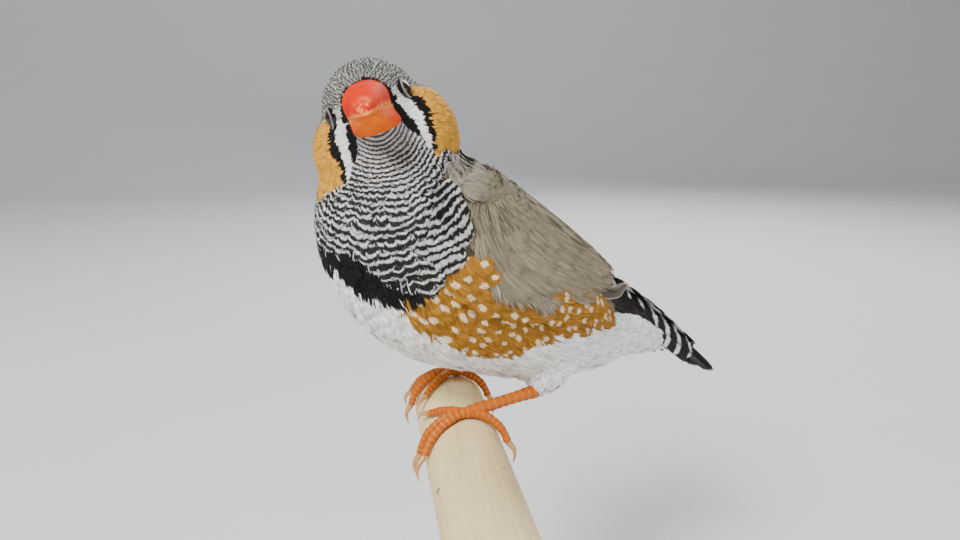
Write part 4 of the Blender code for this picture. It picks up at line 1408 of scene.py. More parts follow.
finish_skin()
print("skin set")

# %% [markdown]
# Wing and tail feathers are long stiff vanes. Each is a thin curved sheet with a raised shaft, a
# rounded tip, and edges that break here and there where barbs have come apart.

# %% Long vanes
VANE_STATIONS = 26
VANE_STRIPS = 8
SHEET_THICKNESS = 0.16
VANE_OUTLINE = ((0, 0.22, 0.48, 0.72, 0.88, 0.95), (0.5, 0.85, 1.0, 0.97, 0.78, 0.6))
SHAFT_RADII = (0.16, 0.05)
SHAFT_SIDES = 5
SHAFT_BROWN = (0.05, 0.035, 0.025)


def normals_over(surface, along, across, height):
    """Points of a sheet, and the way up from it at each."""
    middle = surface(along, across, height)
    above = normalised(surface(along, across, height + 1.0) - middle)
    return middle, above


def long_vane(surface, root, tip, half_width, heights, chance, blunt=0.3, camber=0.10):
    """Points and quads of a vane and of its shaft, and the vane's map; in the bird's frame."""
    places = np.linspace(0.0, 1.0, VANE_STATIONS)
    stations, shares = VANE_OUTLINE
    widths = half_width * np.interp(places, (*stations, 1.0), (*shares, blunt))
    along = root[0] + (tip[0] - root[0]) * places
    across = root[1] + (tip[1] - root[1]) * places
    height = heights[0] + (heights[1] - heights[0]) * places
    middle, above = normals_over(surface, along, across, height)
    run = normalised(np.gradient(middle, axis=0))
    side = normalised(np.cross(above, run))
    above = np.cross(run, side)
    strips = np.linspace(-1.0, 1.0, VANE_STRIPS + 1)
    notch = np.ones((VANE_STATIONS, 2))
    for edge in range(2):
        for _ in range(chance.integers(1, 4)):
            notch[chance.integers(6, VANE_STATIONS - 2), edge] = chance.uniform(0.84, 0.95)
    top, low, flat = [], [], []
    for i in range(VANE_STATIONS):
        for strip in strips:
            share = strip * (notch[i, int(strip > 0)] if abs(strip) > 0.9 else 1.0)
            back = run[i] * (-0.25 * abs(strip) * widths[i])
            bow = above[i] * (-camber * half_width * strip**2)
            point = middle[i] + side[i] * widths[i] * share + bow + back * (places[i] > 0.05)
            edge_thin = 1.0 - 0.8 * abs(strip)
            top.append(point + above[i] * SHEET_THICKNESS * edge_thin)
            low.append(point - above[i] * SHEET_THICKNESS * 0.4)
            flat.append((0.5 + 0.5 * strip, places[i]))
    columns = VANE_STRIPS + 1
    count = len(top)
    quads = []
    for i in range(VANE_STATIONS - 1):
        for j in range(VANE_STRIPS):
            a, b = i * columns + j, (i + 1) * columns + j
            quads.append((a, a + 1, b + 1, b))
            quads.append((count + a, count + b, count + b + 1, count + a + 1))
    rim = list(range(columns)) + [(i + 1) * columns - 1 for i in range(1, VANE_STATIONS)]
    rim += [(VANE_STATIONS - 1) * columns + j for j in range(columns - 2, -1, -1)]
    rim += [i * columns for i in range(VANE_STATIONS - 2, 0, -1)]
    for a, b in zip(rim, rim[1:] + rim[:1]):
        quads.append((a, count + a, count + b, b))
    points = top + low
    flat = flat + flat
    shaft_radii = np.interp(places, [0.0, 1.0], SHAFT_RADII)
    shaft_path = middle + above * (SHEET_THICKNESS + 0.02)
    first = len(points)
    shaft_points, shaft_faces = loft(tube_rings(shaft_path[:-1], shaft_radii[:-1], SHAFT_SIDES))
    points += [np.array(p) for p in shaft_points]
    flat += [(0.5, places[k // SHAFT_SIDES]) for k in range(len(shaft_points))]
    quads += [tuple(first + k for k in face) for face in shaft_faces]
    return points, quads, flat


print("stations along a vane:", VANE_STATIONS)

# %% [markdown]
# The vanes of a wing or a tail are joined to one mesh, with the map of their barbs and a map for
# baking on which each vane has a cell of its own.

# %% Meshes of vanes
def smooth_faces(mesh, sharp=50.0):
    """Smooth shading, but for edges that turn by more than so many degrees."""
    mesh.shade_smooth()
    mesh.set_sharp_from_angle(angle=math.radians(sharp))


def vanes_object(name, vanes, look):
    """Joins long vanes to one object with the maps Vane and OFBake, and a colour for each."""
    points, faces, flat, patch, shade = [], [], [], [], []
    columns = math.ceil(math.sqrt(len(vanes) * 3))
    rows = math.ceil(len(vanes) / columns)
    for index, (vane_points, vane_faces, vane_flat, colour) in enumerate(vanes):
        first = len(points)
        points += [tuple(p) for p in world_points(vane_points)]
        faces += [tuple(first + k for k in face) for face in vane_faces]
        flat += vane_flat
        column, row = index % columns, index // columns
        for u, v in vane_flat:
            patch.append(((column + 0.04 + 0.92 * u) / columns, (row + 0.02 + 0.96 * v) / rows))
        shade += [(*colour, 1.0)] * len(vane_points)
    mesh = bpy.data.meshes.new(name)
    mesh.from_pydata(points, [], faces)
    loops = np.empty(len(mesh.loops), np.int32)
    mesh.loops.foreach_get("vertex_index", loops)
    map_layer(mesh, "Vane", flat, loops)
    map_layer(mesh, "OFBake", patch, loops)
    colour_layer(mesh, "plumage_colour", shade)
    smooth_faces(mesh)
    made = new_object(name, mesh)
    made.data.materials.append(look)
    return made


print("maps of a vane: Vane, OFBake")

# %% [markdown]
# The folded wing is a sheet over the body's side, and its long feathers lie on it in four tiers: the
# outer vanes at the tip, the inner ones, three broad ones near the back, and the coverts in front.

# %% Long vanes of the wing
def wing_surface(side):
    """The folded wing's sheet: along from shoulder to tip, across from upper to lower edge, and height."""
    def surface(along, across, height):
        along = np.asarray(along, float)
        row = wing_row(along, 1.06)
        angle = np.radians(row[..., 0] + (row[..., 1] - row[..., 0]) * across)
        place = WING_START + (WING_END - WING_START) * along
        return body_point(place, angle, row[..., 2] + height) * np.array((1.0, side, 1.0))
    return surface


# Places on the wing's sheet are (along, across); each pair is for the first and the last of a tier
WING_TIERS = [
    dict(count=7, roots=((0.46, 0.80), (0.44, 0.92)), tips=((0.86, 0.80), (0.97, 0.90)),
         half_width=1.25, heights=(0.0, 0.1), step=0.10, shade=0.5),
    dict(count=8, roots=((0.36, 0.92), (0.34, 0.44)), tips=((0.62, 0.93), (0.83, 0.42)),
         half_width=2.0, heights=(0.2, 0.35), step=0.12, shade=1.0),
    dict(count=3, roots=((0.34, 0.36), (0.32, 0.13)), tips=((0.84, 0.30), (0.74, 0.09)),
         half_width=2.6, heights=(0.7, 1.15), step=0.22, shade=1.05),
    dict(count=8, roots=((0.14, 0.90), (0.16, 0.30)), tips=((0.42, 0.95), (0.47, 0.34)),
         half_width=1.9, heights=(0.0, 0.95), step=0.10, shade=1.1),
]


def vane_material(name, edge_colour, edge_width):
    """A long vane with a pale rim, a dark shaft and fine barbs."""
    made, tree, shader = new_material(name, 0.6, specular=0.15)
    flat = vane_place(tree)
    fine = use_group(tree, barbs, Map=flat, Count=70.0, Slant=20.0).outputs["Shade"]
    across, along = map_parts(tree, flat)
    out = add_math(tree, "MULTIPLY", from_middle(tree, across), 2.0)
    edge = add_ramp(tree, out, 1.0 - 2.0 * edge_width, 1.0 - 0.5 * edge_width)
    tip = add_ramp(tree, along, 0.955, 0.985)
    rim = add_math(tree, "MULTIPLY", add_math(tree, "MAXIMUM", edge, tip), 0.75)
    shaft = add_math(tree, "SUBTRACT", 1.0, add_ramp(tree, out, 0.02, 0.06))
    colour = add_mix(tree, rim, attribute(tree, "plumage_colour"), edge_colour)
    colour = add_mix(tree, add_math(tree, "MULTIPLY", shaft, 0.6), colour, SHAFT_BROWN)
    finish_colour(tree, shader, colour, add_math(tree, "MULTIPLY_ADD", fine, 0.22, 0.80))
    bump(tree, shader, fine, 0.5, 0.00004)
    return made


wing_vane_look = vane_material("wing_vane", (0.50, 0.44, 0.34), 0.12)


def chance_of(side_name, seed):
    """Seeded draws for one side of the bird; the right side has the next seed."""
    return np.random.default_rng(seed + int(side_name == "right"))


def wing_vanes(side_name):
    surface = wing_surface(SIDES[side_name])
    chance = chance_of(side_name, 7)
    made = []
    for tier in WING_TIERS:
        for i in range(tier["count"]):
            part = i / (tier["count"] - 1)
            root, tip = (tuple(a + (b - a) * part for a, b in zip(*tier[end])) for end in ("roots", "tips"))
            rise = tier["step"] * i
            heights = (tier["heights"][0] + rise * 0.35, tier["heights"][1] + rise)
            colour = np.array(WING_BROWN) * tier["shade"] * chance.uniform(0.92, 1.08)
            vane = long_vane(surface, root, tip, tier["half_width"], heights, chance)
            made.append((*vane, tuple(colour)))
    obj = vanes_object("wing_vanes_" + side_name, made, wing_vane_look)
    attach(obj, "root")
    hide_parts("wing_" + side_name)


for side_name in SIDES:
    wing_vanes(side_name)
print("long vanes on a wing:", sum(tier["count"] for tier in WING_TIERS))

# %% [markdown]
# The fore part of the wing and the shoulders carry small soft feathers. They use the same fans of
# blades as the body, walked over the wing's sheet instead of the skin.

# %% Small feathers of the wing
WING_RUN = 62.0


def plain(points):
    return np.zeros((len(points), 4))


def spotted(points):
    return np.tile([0.0, 0.0, 1.0, 0.0], (len(points), 1))


def nudged(chance, along, across, by_along, by_across):
    return along + chance.uniform(-by_along, by_along), across + chance.uniform(-by_across, by_across)


def sheet_feathers(
    name, surface, at, drift, length, width, base, lift, colour, blades, seed, tone,
    ragged=0.12, marking=plain, run=WING_RUN,
):
    """
    Fans of blades walked over a sheet. Each feather starts at (along, across) and drifts across on its
    way; base is its height over the sheet, and run is the sheet's length.
    """
    chance = np.random.default_rng(seed)
    count = len(at)
    sizes = (drift, length, width, base, lift)
    drift, length, width, base, lift = (np.broadcast_to(value, count) for value in sizes)
    parts = np.arange(STEPS + 1) / STEPS
    stations = [
        normals_over(surface, at[:, 0] + length / run * part, at[:, 1] + drift * part, base) for part in parts
    ]
    path, way = (np.stack(rows) for rows in zip(*stations))
    corners, across = fan(path, way, width, lift, blades, seed, ragged=ragged)
    shades = chance.uniform(1 - tone, 1 + tone, across.shape) * chance.uniform(0.93, 1.07, (count, 1))
    shade = (np.broadcast_to(colour, (count, 3))[:, None, :] * shades[..., None]).reshape(-1, 3)
    vertices = corners.reshape(-1, 3)
    marks = marks_of(vertices, marking(vertices), np.repeat(chance.random(across.size), BLADE_CORNERS))
    low, high = at.min(axis=0), at.max(axis=0)
    made = blades_mesh(name, corners, shade, marks, 0.04 + 0.9 * (at - low) / (high - low), plumage)
    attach(made, "root")


print("steps of a feather:", STEPS)

# %% [markdown]
# Along the wing's front corner the barred feathers of the breast lap over it. Behind them its own
# small feathers cover the fore part, and some hang loose from the lower edge.

# %% Fore part of the wing
def breast_barred(points):
    count = paint(points)[1][:, 0] + 0.16 * waves(points, 1.2, 71) + 0.10 * waves(points, 0.7, 72)
    return np.column_stack([count, np.full(len(points), 1.08), np.zeros((len(points), 2))])


BARS_ON_WING = ((-0.02, 0.06, 0.13, 0.18, 0.21, 0.27), (1.02, 0.95, 0.85, 0.90, 0.97, 1.10))


def breast_over_wing(side_name):
    """Barred feathers of the breast that lap over the wing's front corner."""
    side = SIDES[side_name]
    chance = chance_of(side_name, 77)
    rows = []
    for along in np.arange(-0.02, 0.20, 0.0125):
        low = np.interp(along + 0.05, *BARS_ON_WING) + chance.uniform(-0.05, 0.04)
        rows += [nudged(chance, along, across, 0.006, 0.015) for across in np.arange(low, 1.22, 0.04)]
    at = np.array(rows)
    sheet_feathers(
        "feathers_breast_lap_" + side_name, wing_surface(side), at, drift=0.04,
        length=chance.uniform(3.2, 3.9, len(at)), width=1.0, base=np.interp(at[:, 1], [0.9, 1.2], [1.5, 0.4]),
        lift=chance.uniform(0.25, 0.45, len(at)), colour=BREAST_GREY, blades=11, seed=590 + int(side),
        tone=0.1, marking=breast_barred,
    )


WING_LOW = (
    (0.0, 0.07, 0.13, 0.20, 0.24, 0.28, 0.32, 0.38, 0.44, 0.50, 0.57, 0.62, 0.66, 0.75, 1.0),
    (0.90, 0.96, 0.90, 0.97, 0.98, 0.94, 0.93, 1.00, 1.08, 1.06, 0.94, 0.90, 0.98, 1.04, 1.02),
)


def wing_coat(side_name):
    """The small feathers over the fore part of the wing."""
    side = SIDES[side_name]
    chance = chance_of(side_name, 17)
    rows = []
    for along in np.arange(-0.03, 0.74, 0.019):
        limit = np.interp(along, [0.0, 0.50, 0.62, 0.74], [1.02, 1.0, 0.80, 0.40])
        rows += [nudged(chance, along, across, 0.009, 0.03) for across in np.arange(-0.03, limit, 0.055)]
    at = np.array(rows)
    length = np.interp(at[:, 0], [0.0, 0.15, 0.5, 0.8], [3.5, 5.5, 8.0, 8.5])
    length = length * chance.uniform(0.9, 1.1, len(at))
    drift = np.interp(at[:, 0], [0.0, 0.4, 0.8], [0.14, 0.10, 0.0])
    end = at[:, 0] + length / WING_RUN
    inside = at[:, 1] + drift < np.interp(end, *WING_LOW)
    at, length, drift = at[inside], length[inside], drift[inside]
    base = np.interp(at[:, 0], [0.0, 0.15, 0.3, 0.8], [-0.3, 0.9, 1.5, 1.7])
    base += np.interp(at[:, 1], [0.0, 0.5, 1.0], [0.3, 0.2, 0.0])
    colour = between(MANTLE, WING_BROWN, np.interp(at[:, 0], [0.0, 0.5], [0.0, 1.0]))
    colour *= 1.0 + 0.10 * waves(np.column_stack([at * WING_RUN, 0.0 * length]), 11.0, 31)[:, None]
    sheet_feathers(
        "feathers_wing_" + side_name, wing_surface(side), at, drift, length,
        width=np.interp(at[:, 0], [0.0, 0.15, 0.5], [1.0, 1.5, 2.0]), base=base,
        lift=chance.uniform(0.25, 0.45, len(at)), colour=colour, blades=12, seed=90 + int(side), tone=0.16,
    )
    return len(at)


def wing_wisps(side_name, count=46):
    """Long loose feathers that hang from the wing's lower edge over the flank."""
    side = SIDES[side_name]
    chance = chance_of(side_name, 27)
    along = np.linspace(0.32, 0.47, count) + chance.uniform(-0.01, 0.01, count)
    at = np.stack([along, chance.uniform(0.78, 0.93, count)], axis=1)
    length = chance.uniform(5.0, 8.0, count)
    drift = chance.uniform(0.06, 0.30, count)
    colour = between(SIDE_GREY, WING_BROWN, chance.uniform(0.3, 1.0, count))
    sheet_feathers(
        "feathers_wisps_" + side_name, wing_surface(side), at, drift, length, width=1.9, base=1.2,
        lift=0.4, colour=colour, blades=17, seed=190 + int(side), tone=0.3, ragged=0.4,
    )
    return count


print("lower edge of the small feathers:", WING_LOW[1])

# %% [markdown]
# Chestnut feathers of the flank rise over the wing's lower edge. Between the wings lies the mantle, a
# sheet that follows the skin at the nape and rises over the wings' upper edges further back.

# %% Flank and mantle
FLANK_ON_WING = (
    (0.29, 0.31, 0.34, 0.38, 0.42, 0.46, 0.50, 0.54, 0.57, 0.63, 0.70, 0.78),
    (1.00, 0.95, 1.00, 1.07, 1.12, 1.10, 1.00, 0.98, 0.93, 0.91, 1.00, 1.13),
)


def flank_over_wing(side_name):
    """Chestnut feathers that rise from the flank and lap over the wing's lower edge."""
    side = SIDES[side_name]
    chance = chance_of(side_name, 37)
    rows = []
    for along in np.arange(0.225, 0.70, 0.016):
        low = np.interp(along + 0.06, *FLANK_ON_WING)
        rows += [nudged(chance, along, across, 0.008, 0.02) for across in np.arange(low, 1.2, 0.05)]
    at = np.array(rows)
    sheet_feathers(
        "feathers_flank_lap_" + side_name, wing_surface(side), at, drift=-0.01,
        length=chance.uniform(4.2, 5.4, len(at)), width=1.6,
        base=np.interp(at[:, 1], [0.9, 1.18], [1.6, 0.1]),
        lift=chance.uniform(0.3, 0.6, len(at)), colour=FLANK, blades=12, seed=290 + int(side), tone=0.2,
        ragged=0.2, marking=spotted,
    )


MANTLE_START, MANTLE_END = 1.0, 6.6
MANTLE_LAP = 1.3
MANTLE_NAPE_EDGE = (50.0, 52.0, 58.0, 76.0, 84.0)


def mantle_surface(along, across, height):
    """The back between the wings: across runs from edge to edge and a little over each wing."""
    place = MANTLE_START + (MANTLE_END - MANTLE_START) * np.asarray(along, float)
    row = wing_row((place - WING_START) / (WING_END - WING_START))
    nape_edge = np.interp(place, BAR_EDGE[0][:5], MANTLE_NAPE_EDGE)
    edge = np.minimum((row[..., 0] + 4.0) * MANTLE_LAP, nape_edge)
    angle = np.radians(edge * across)
    rise = np.interp(np.abs(across), [0.0, 0.55, 0.8, 1.0], [1.9, 2.0, 2.0, 1.9])
    rise *= np.interp(place, [1.2, 1.8, 2.4], [0.0, 0.45, 1.0])
    spread = body_point(place, angle, rise + height)
    skin_spot, skin_way = snap(body_point(place, angle, 0.0))
    close = np.interp(place, [1.7, 2.5], [1.0, 0.0])[:, None]
    return spread * (1.0 - close) + (skin_spot + skin_way * (0.7 + rise + height)[:, None]) * close


def mantle():
    chance = np.random.default_rng(47)
    rows = []
    for along in np.arange(0.06, 0.92, 0.026):
        columns = int(np.interp(along, [0.1, 0.5], [29, 13]))
        rows += [nudged(chance, along, across, 0.01, 0.04) for across in np.linspace(-0.95, 0.95, columns)]
    at = np.array(rows)
    length = np.interp(at[:, 0], [0.0, 0.5], [3.8, 5.5]) * chance.uniform(0.9, 1.1, len(at))
    darker = 1.0 - 0.15 * np.interp(at[:, 0], [0.1, 0.3, 0.9], [0.0, 0.4, 1.0])
    colour = between(GREY_NAPE, MANTLE, np.interp(at[:, 0], [0.05, 0.25], [0.0, 1.0])) * darker[:, None]
    sheet_feathers(
        "feathers_mantle", mantle_surface, at, drift=0.03 * at[:, 1], length=length,
        width=np.interp(at[:, 0], [0.0, 0.5], [1.2, 1.9]), base=-0.2,
        lift=chance.uniform(0.2, 0.45, len(at)), colour=colour, blades=11, seed=390, tone=0.16,
    )
    return len(at)


for side_name in SIDES:
    print("small feathers of the wing:", wing_coat(side_name), "and wisps:", wing_wisps(side_name))
    breast_over_wing(side_name)
    flank_over_wing(side_name)
print("feathers of the mantle:", mantle())

# %% [markdown]
# The tail is a narrow stack of dark vanes, its middle pair on top. Black coverts with white bars lie
# over its root and plain white ones under it.

# %% Tail
TAIL_ROOT = (-42.0, 14.0)
TAIL_SLOPE = math.radians(33.0)
TAIL_DROOP = 0.0035
TAIL_LENGTH = 36.6
TAIL_FEATHERS = 12
TAIL_STEP = 0.17
TAIL_VANE = 2.5
TAIL_SPREAD = 3.0
TAIL_ROUNDING = 0.09
TAIL_BLACK = (0.012, 0.010, 0.009)
TAIL_WHITE = (0.74, 0.74, 0.71)
COVERT_WHITE = (0.78, 0.78, 0.75)
TAIL_COVERTS = [
    dict(count=7, reach=26.0, spread=4.0, half_width=2.0, heights=(1.2, 0.5), step=0.10, over=True),
    dict(count=7, reach=19.0, spread=4.2, half_width=2.1, heights=(1.5, 0.9), step=0.10, over=True),
    dict(count=7, reach=12.0, spread=4.4, half_width=2.3, heights=(1.8, 1.3), step=0.10, over=True),
    dict(count=7, reach=25.0, spread=2.4, half_width=2.2, heights=(-5.4, -3.0), step=0.10, over=False),
    dict(count=7, reach=18.0, spread=3.2, half_width=2.4, heights=(-6.6, -4.6), step=0.10, over=False),
]


def tail_surface(along, across, height):
    """The tail's sheet: along and across it, and height over it, in millimetres."""
    along = np.asarray(along, float)
    across = np.asarray(across, float)
    slope = TAIL_SLOPE + TAIL_DROOP * along / 2
    sag = 0.03 * across**2
    x = TAIL_ROOT[0] - along * np.cos(slope) - (height - sag) * np.sin(slope)
    z = TAIL_ROOT[1] - along * np.sin(slope) + (height - sag) * np.cos(slope)
    return np.stack([x, across + 0.0 * x, z], axis=-1)


def covert_bar_material():
    """White bars across a black vane."""
    made, tree, shader = new_material("tail_covert", 0.6, specular=0.2)
    flat = vane_place(tree)
    fine = use_group(tree, barbs, Map=flat, Count=60.0, Slant=14.0).outputs["Shade"]
    across, along = map_parts(tree, flat)
    bent = add_math(tree, "MULTIPLY", from_middle(tree, across), 0.5)
    count = add_math(tree, "ADD", add_math(tree, "MULTIPLY", along, 3.2), bent)
    lines = use_group(tree, rings, Count=count, Line=0.44, Softness=0.08)
    colour = add_mix(tree, lines.outputs["Dark"], attribute(tree, "plumage_colour"), COVERT_WHITE)
    finish_colour(tree, shader, colour, add_math(tree, "MULTIPLY_ADD", fine, 0.22, 0.80))
    bump(tree, shader, fine, 0.5, 0.00004)
    return made


def tail_vanes():
    chance = np.random.default_rng(3)
    long_ones, over_ones = [], []
    pairs = TAIL_FEATHERS // 2
    for i in range(pairs):
        out = i / (pairs - 1)
        for side in SIDES.values():
            level = -TAIL_STEP * (2 * i + (1 if side < 0 else 0))
            length = TAIL_LENGTH * (1.0 - TAIL_ROUNDING * out**2) + chance.uniform(-0.4, 0.4)
            root = (0.0, side * (0.9 + 1.4 * out))
            tip = (length, side * (1.2 + (TAIL_SPREAD - 1.2) * out))
            made = long_vane(tail_surface, root, tip, TAIL_VANE, (level, level), chance, blunt=0.35)
            long_ones.append((*made, tuple(np.array(TAIL_BLACK) * chance.uniform(0.8, 1.3))))
    for tier in TAIL_COVERTS:
        for i in range(tier["count"]):
            out = -1.0 + 2.0 * i / (tier["count"] - 1)
            reach = tier["reach"] * (1.0 - 0.10 * out * out) + chance.uniform(-0.6, 0.6)
            root, tip = (-6.0, tier["spread"] * 0.8 * out), (reach, tier["spread"] * out)
            heights = [height + tier["step"] * i for height in tier["heights"]]
            made = long_vane(tail_surface, root, tip, tier["half_width"], heights, chance)
            if tier["over"]:
                over_ones.append((*made, TAIL_BLACK))
            else:
                long_ones.append((*made, BELLY_WHITE))
    tail = vanes_object("tail_vanes", long_ones, vane_material("tail_vane", (0.05, 0.043, 0.038), 0.06))
    coverts = vanes_object("tail_coverts", over_ones, covert_bar_material())
    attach(tail, "root")
    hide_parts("tail")
    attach(coverts, "root")


tail_vanes()
print("tail vanes:", TAIL_FEATHERS)

# %% [markdown]
# Small white feathers with slanting black bars wrap the root of the tail from side to side. The bars
# are marks like those of the breast, but counted along the tail.

# %% Bars round the tail
WRAP_ALONG = (-10.0, 0.0, 10.0, 27.0)
WRAP_TOP = (2.6, 2.4, 1.9, 1.0)
WRAP_WIDE = (6.0, 5.2, 4.7, 4.1)
WRAP_DEEP = (7.0, 5.8, 4.2, 2.4)
BAR_STEP = 4.5
BAR_SLANT = 0.045


def wrap_size(along):
    """Height, half width and depth of the wrap along the tail."""
    return (np.interp(along, WRAP_ALONG, row) for row in (WRAP_TOP, WRAP_WIDE, WRAP_DEEP))


def wrap_surface(along, across, height):
    """Round the root of the tail from side to side: along in millimetres, across in degrees."""
    turn = np.radians(across)
    top, wide, deep = wrap_size(along)
    level = top - deep * (1.0 - np.cos(turn)) + height * np.cos(turn)
    return tail_surface(along, (wide + height) * np.sin(turn), level)


def tail_bars(points):
    """White bars that slant back from the middle of the tail to its sides."""
    back = points[:, [0, 2]] - TAIL_ROOT
    along = -back[:, 0] * math.cos(TAIL_SLOPE) - back[:, 1] * math.sin(TAIL_SLOPE)
    lift = back[:, 1] * math.cos(TAIL_SLOPE) - back[:, 0] * math.sin(TAIL_SLOPE)
    top, wide, deep = wrap_size(along)
    turn = np.degrees(np.arctan2(np.abs(points[:, 1]) / wide, (lift - top) / deep + 1.0))
    bars = np.zeros((len(points), 4))
    bars[:, RINGS] = (along - BAR_SLANT * turn) / BAR_STEP + 0.06 * waves(points, 3.0, 61)
    bars[:, STRENGTH] = np.interp(along, [18.0, 24.0], [1.24, 1.34])
    return bars


def barred_coverts():
    chance = np.random.default_rng(57)
    rows = []
    for along in np.arange(-9.0, 20.5, 1.15):
        rows += [nudged(chance, along, across, 0.4, 4.0) for across in np.linspace(-104.0, 104.0, 17)]
    at = np.array(rows)
    sheet_feathers(
        "feathers_tail_bars", wrap_surface, at, drift=0.0,
        length=chance.uniform(4.6, 5.6, len(at)), width=1.35, base=-0.1,
        lift=chance.uniform(0.15, 0.35, len(at)),
        colour=TAIL_WHITE, blades=9, seed=490, tone=0.08, ragged=0.1, marking=tail_bars, run=1.0,
    )


barred_coverts()
print("bars stand apart, mm:", BAR_STEP)

# %% [markdown]
# The bill is two waxy cones that meet along a line which droops toward the tip. The colour pales where
# the horn is worn, at the tip and along the cutting edges.

# %% Bill
BILL_UPPER = dict(base=6.0, tip=19.6, half_width=3.75, height=5.2, side=1.0, round=0.9, aside=0.0)
BILL_LOWER = dict(base=6.0, tip=17.6, half_width=3.85, height=3.8, side=-1.0, round=0.5, aside=0.55)
BILL_TAPER = (1.9, 0.7)
BILL_BULGE = 0.35
BILL_BLUNT = 0.1
GAPE = 1.1
GAPE_DROOP = 1.9
GAP = 0.3
GAPE_SEAM = 0.05
NOSTRIL = (10.0, 2.4, 4.9)
NOSTRIL_REACH = (0.8, 0.55, 0.5)
NOSTRIL_DEPTH = 0.55
BILL_STEPS = 56
BILL_SIDES = 64
HORN_RED = (0.74, 0.035, 0.012)
EDGE_ORANGE = (0.88, 0.34, 0.05)


def gape(place):
    """Height of the line on which the halves meet."""
    return GAPE - GAPE_DROOP * ((place - BILL_UPPER["base"]) / (BILL_UPPER["tip"] - BILL_UPPER["base"])) ** 2


def mandible(shape):
    """Rings of half the bill, in the head's frame."""
    made = []
    angles = np.linspace(0.0, math.pi, BILL_SIDES // 2 + 1)
    rise = np.maximum(0.0, np.sin(angles))
    for part in np.sin(np.linspace(0.0, math.pi / 2, BILL_STEPS)):
        place = shape["base"] + (shape["tip"] - shape["base"]) * part
        taper = max(BILL_BLUNT, (1.0 - part ** BILL_TAPER[0]) ** BILL_TAPER[1])
        meet = gape(place) + shape["side"] * GAPE_SEAM / 2
        ring = np.stack([
            np.full(len(angles), place),
            shape["half_width"] * taper * np.cos(angles) * (1.0 + BILL_BULGE * rise) + shape["aside"] * rise,
            meet + shape["side"] * rise ** shape["round"] * shape["height"] * (0.10 + 0.90 * taper),
        ], axis=1)
        made.append(ring)
    return made


print("length of the bill, mm:", round(BILL_UPPER["tip"] - BILL_ROOT[0], 1))

# %% [markdown]
# The upper half has two nostrils, pressed in like thumb marks. The horn is mottled, and attributes at
# its points say where it is worn and where it turns orange.

# %% Horn
def dent(points, centre, reach, depth):
    """Presses points near a centre inward, toward the bill's middle line."""
    away = points - centre
    share = np.exp(-np.sum((away / reach) ** 2, axis=1))
    inward = np.stack([np.zeros(len(points)), -points[:, 1], 1.0 - points[:, 2]], axis=1)
    return points + normalised(inward) * (share * depth)[:, None]


def horn_material(name, colour, deep, worn):
    """Horn that is mottled, pale where it is worn, and orange along the cutting edge."""
    made, tree, shader = new_material(name, 0.62, specular=0.06)
    wear, edge_share, side_share = attribute_parts(tree, "horn_wear")
    place = object_place(tree)
    cloudy = add_ramp(tree, add_noise(tree, place, 420.0, 4.0), 0.38, 0.66)
    fine = add_noise(tree, place, 1500.0, 5.0, 0.7)
    base = add_mix(tree, add_math(tree, "MULTIPLY", cloudy, 0.7), colour, deep)
    base = add_mix(tree, side_share, base, HORN_RED)
    base = add_mix(tree, add_math(tree, "MULTIPLY", edge_share, 0.8), base, EDGE_ORANGE)
    patchy = add_ramp(tree, add_noise(tree, place, 1100.0, 4.0, 0.65), 0.46, 0.68)
    base = add_mix(tree, add_math(tree, "MULTIPLY", wear, patchy), base, worn)
    join(tree, base, shader.inputs["Base Color"])
    fine = add_math(tree, "MULTIPLY", fine, 0.5)
    rough = add_math(tree, "ADD", add_math(tree, "MULTIPLY", cloudy, 0.5), fine)
    bump(tree, shader, rough, 0.4, 0.00012)
    return made


def recalculate(obj, sharp=50.0):
    """Turns all faces outward and shades them smooth."""
    work = bmesh.new()
    work.from_mesh(obj.data)
    bmesh.ops.recalc_face_normals(work, faces=work.faces)
    work.to_mesh(obj.data)
    work.free()
    smooth_faces(obj.data, sharp)


def bill_half(name, shape, look):
    points, faces = loft(mandible(shape))
    points = np.array(points)
    upper = shape["side"] > 0
    if upper:
        for side in SIDES.values():
            centre = np.array((NOSTRIL[0], NOSTRIL[1] * side, NOSTRIL[2]))
            points = dent(points, centre, NOSTRIL_REACH, NOSTRIL_DEPTH)
    obj = mesh_object(name + "_horn", world_points(head_point(points)), faces)
    part = (points[:, 0] - shape["base"]) / (shape["tip"] - shape["base"])
    edge = np.abs(points[:, 2] - gape(points[:, 0]))
    tip_wear = np.interp(part, [0.80, 0.95], [0.0, 0.8]) * (1.0 if upper else 0.2)
    edge_wear = np.interp(edge, [0.0, 1.0], [0.95, 0.0]) * np.interp(part, [0.3, 0.8], [0.3, 1.0])
    from_middle_line = np.abs(points[:, 1]) / shape["half_width"]
    wear = np.ones((len(points), 4))
    wear[:, 0] = np.maximum(tip_wear, edge_wear if upper else 0.0)
    wear[:, 1] = np.interp(edge, [0.1, 0.5], [0.9, 0.0])
    wear[:, 2] = 0.0 if upper else np.interp(from_middle_line, [0.45, 0.95], [0.0, 0.8])
    colour_layer(obj.data, "horn_wear", wear)
    recalculate(obj)
    obj.data.materials.append(look)
    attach(obj, "root")
    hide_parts(name)


red_horn = horn_material("red_horn", (0.67, 0.026, 0.001), (0.54, 0.009, 0.001), (0.90, 0.40, 0.16))
orange_horn = horn_material("orange_horn", (0.86, 0.155, 0.0), (0.80, 0.085, 0.0), (0.90, 0.42, 0.10))
bill_half("bill_upper", BILL_UPPER, red_horn)
bill_half("bill_lower", BILL_LOWER, orange_horn)
print("bill done")

# %% [markdown]
# Each eye is a dark wet ball in a ring of pale, beaded lid. The iris of this bird is a brown so deep
# that it nearly joins the pupil.

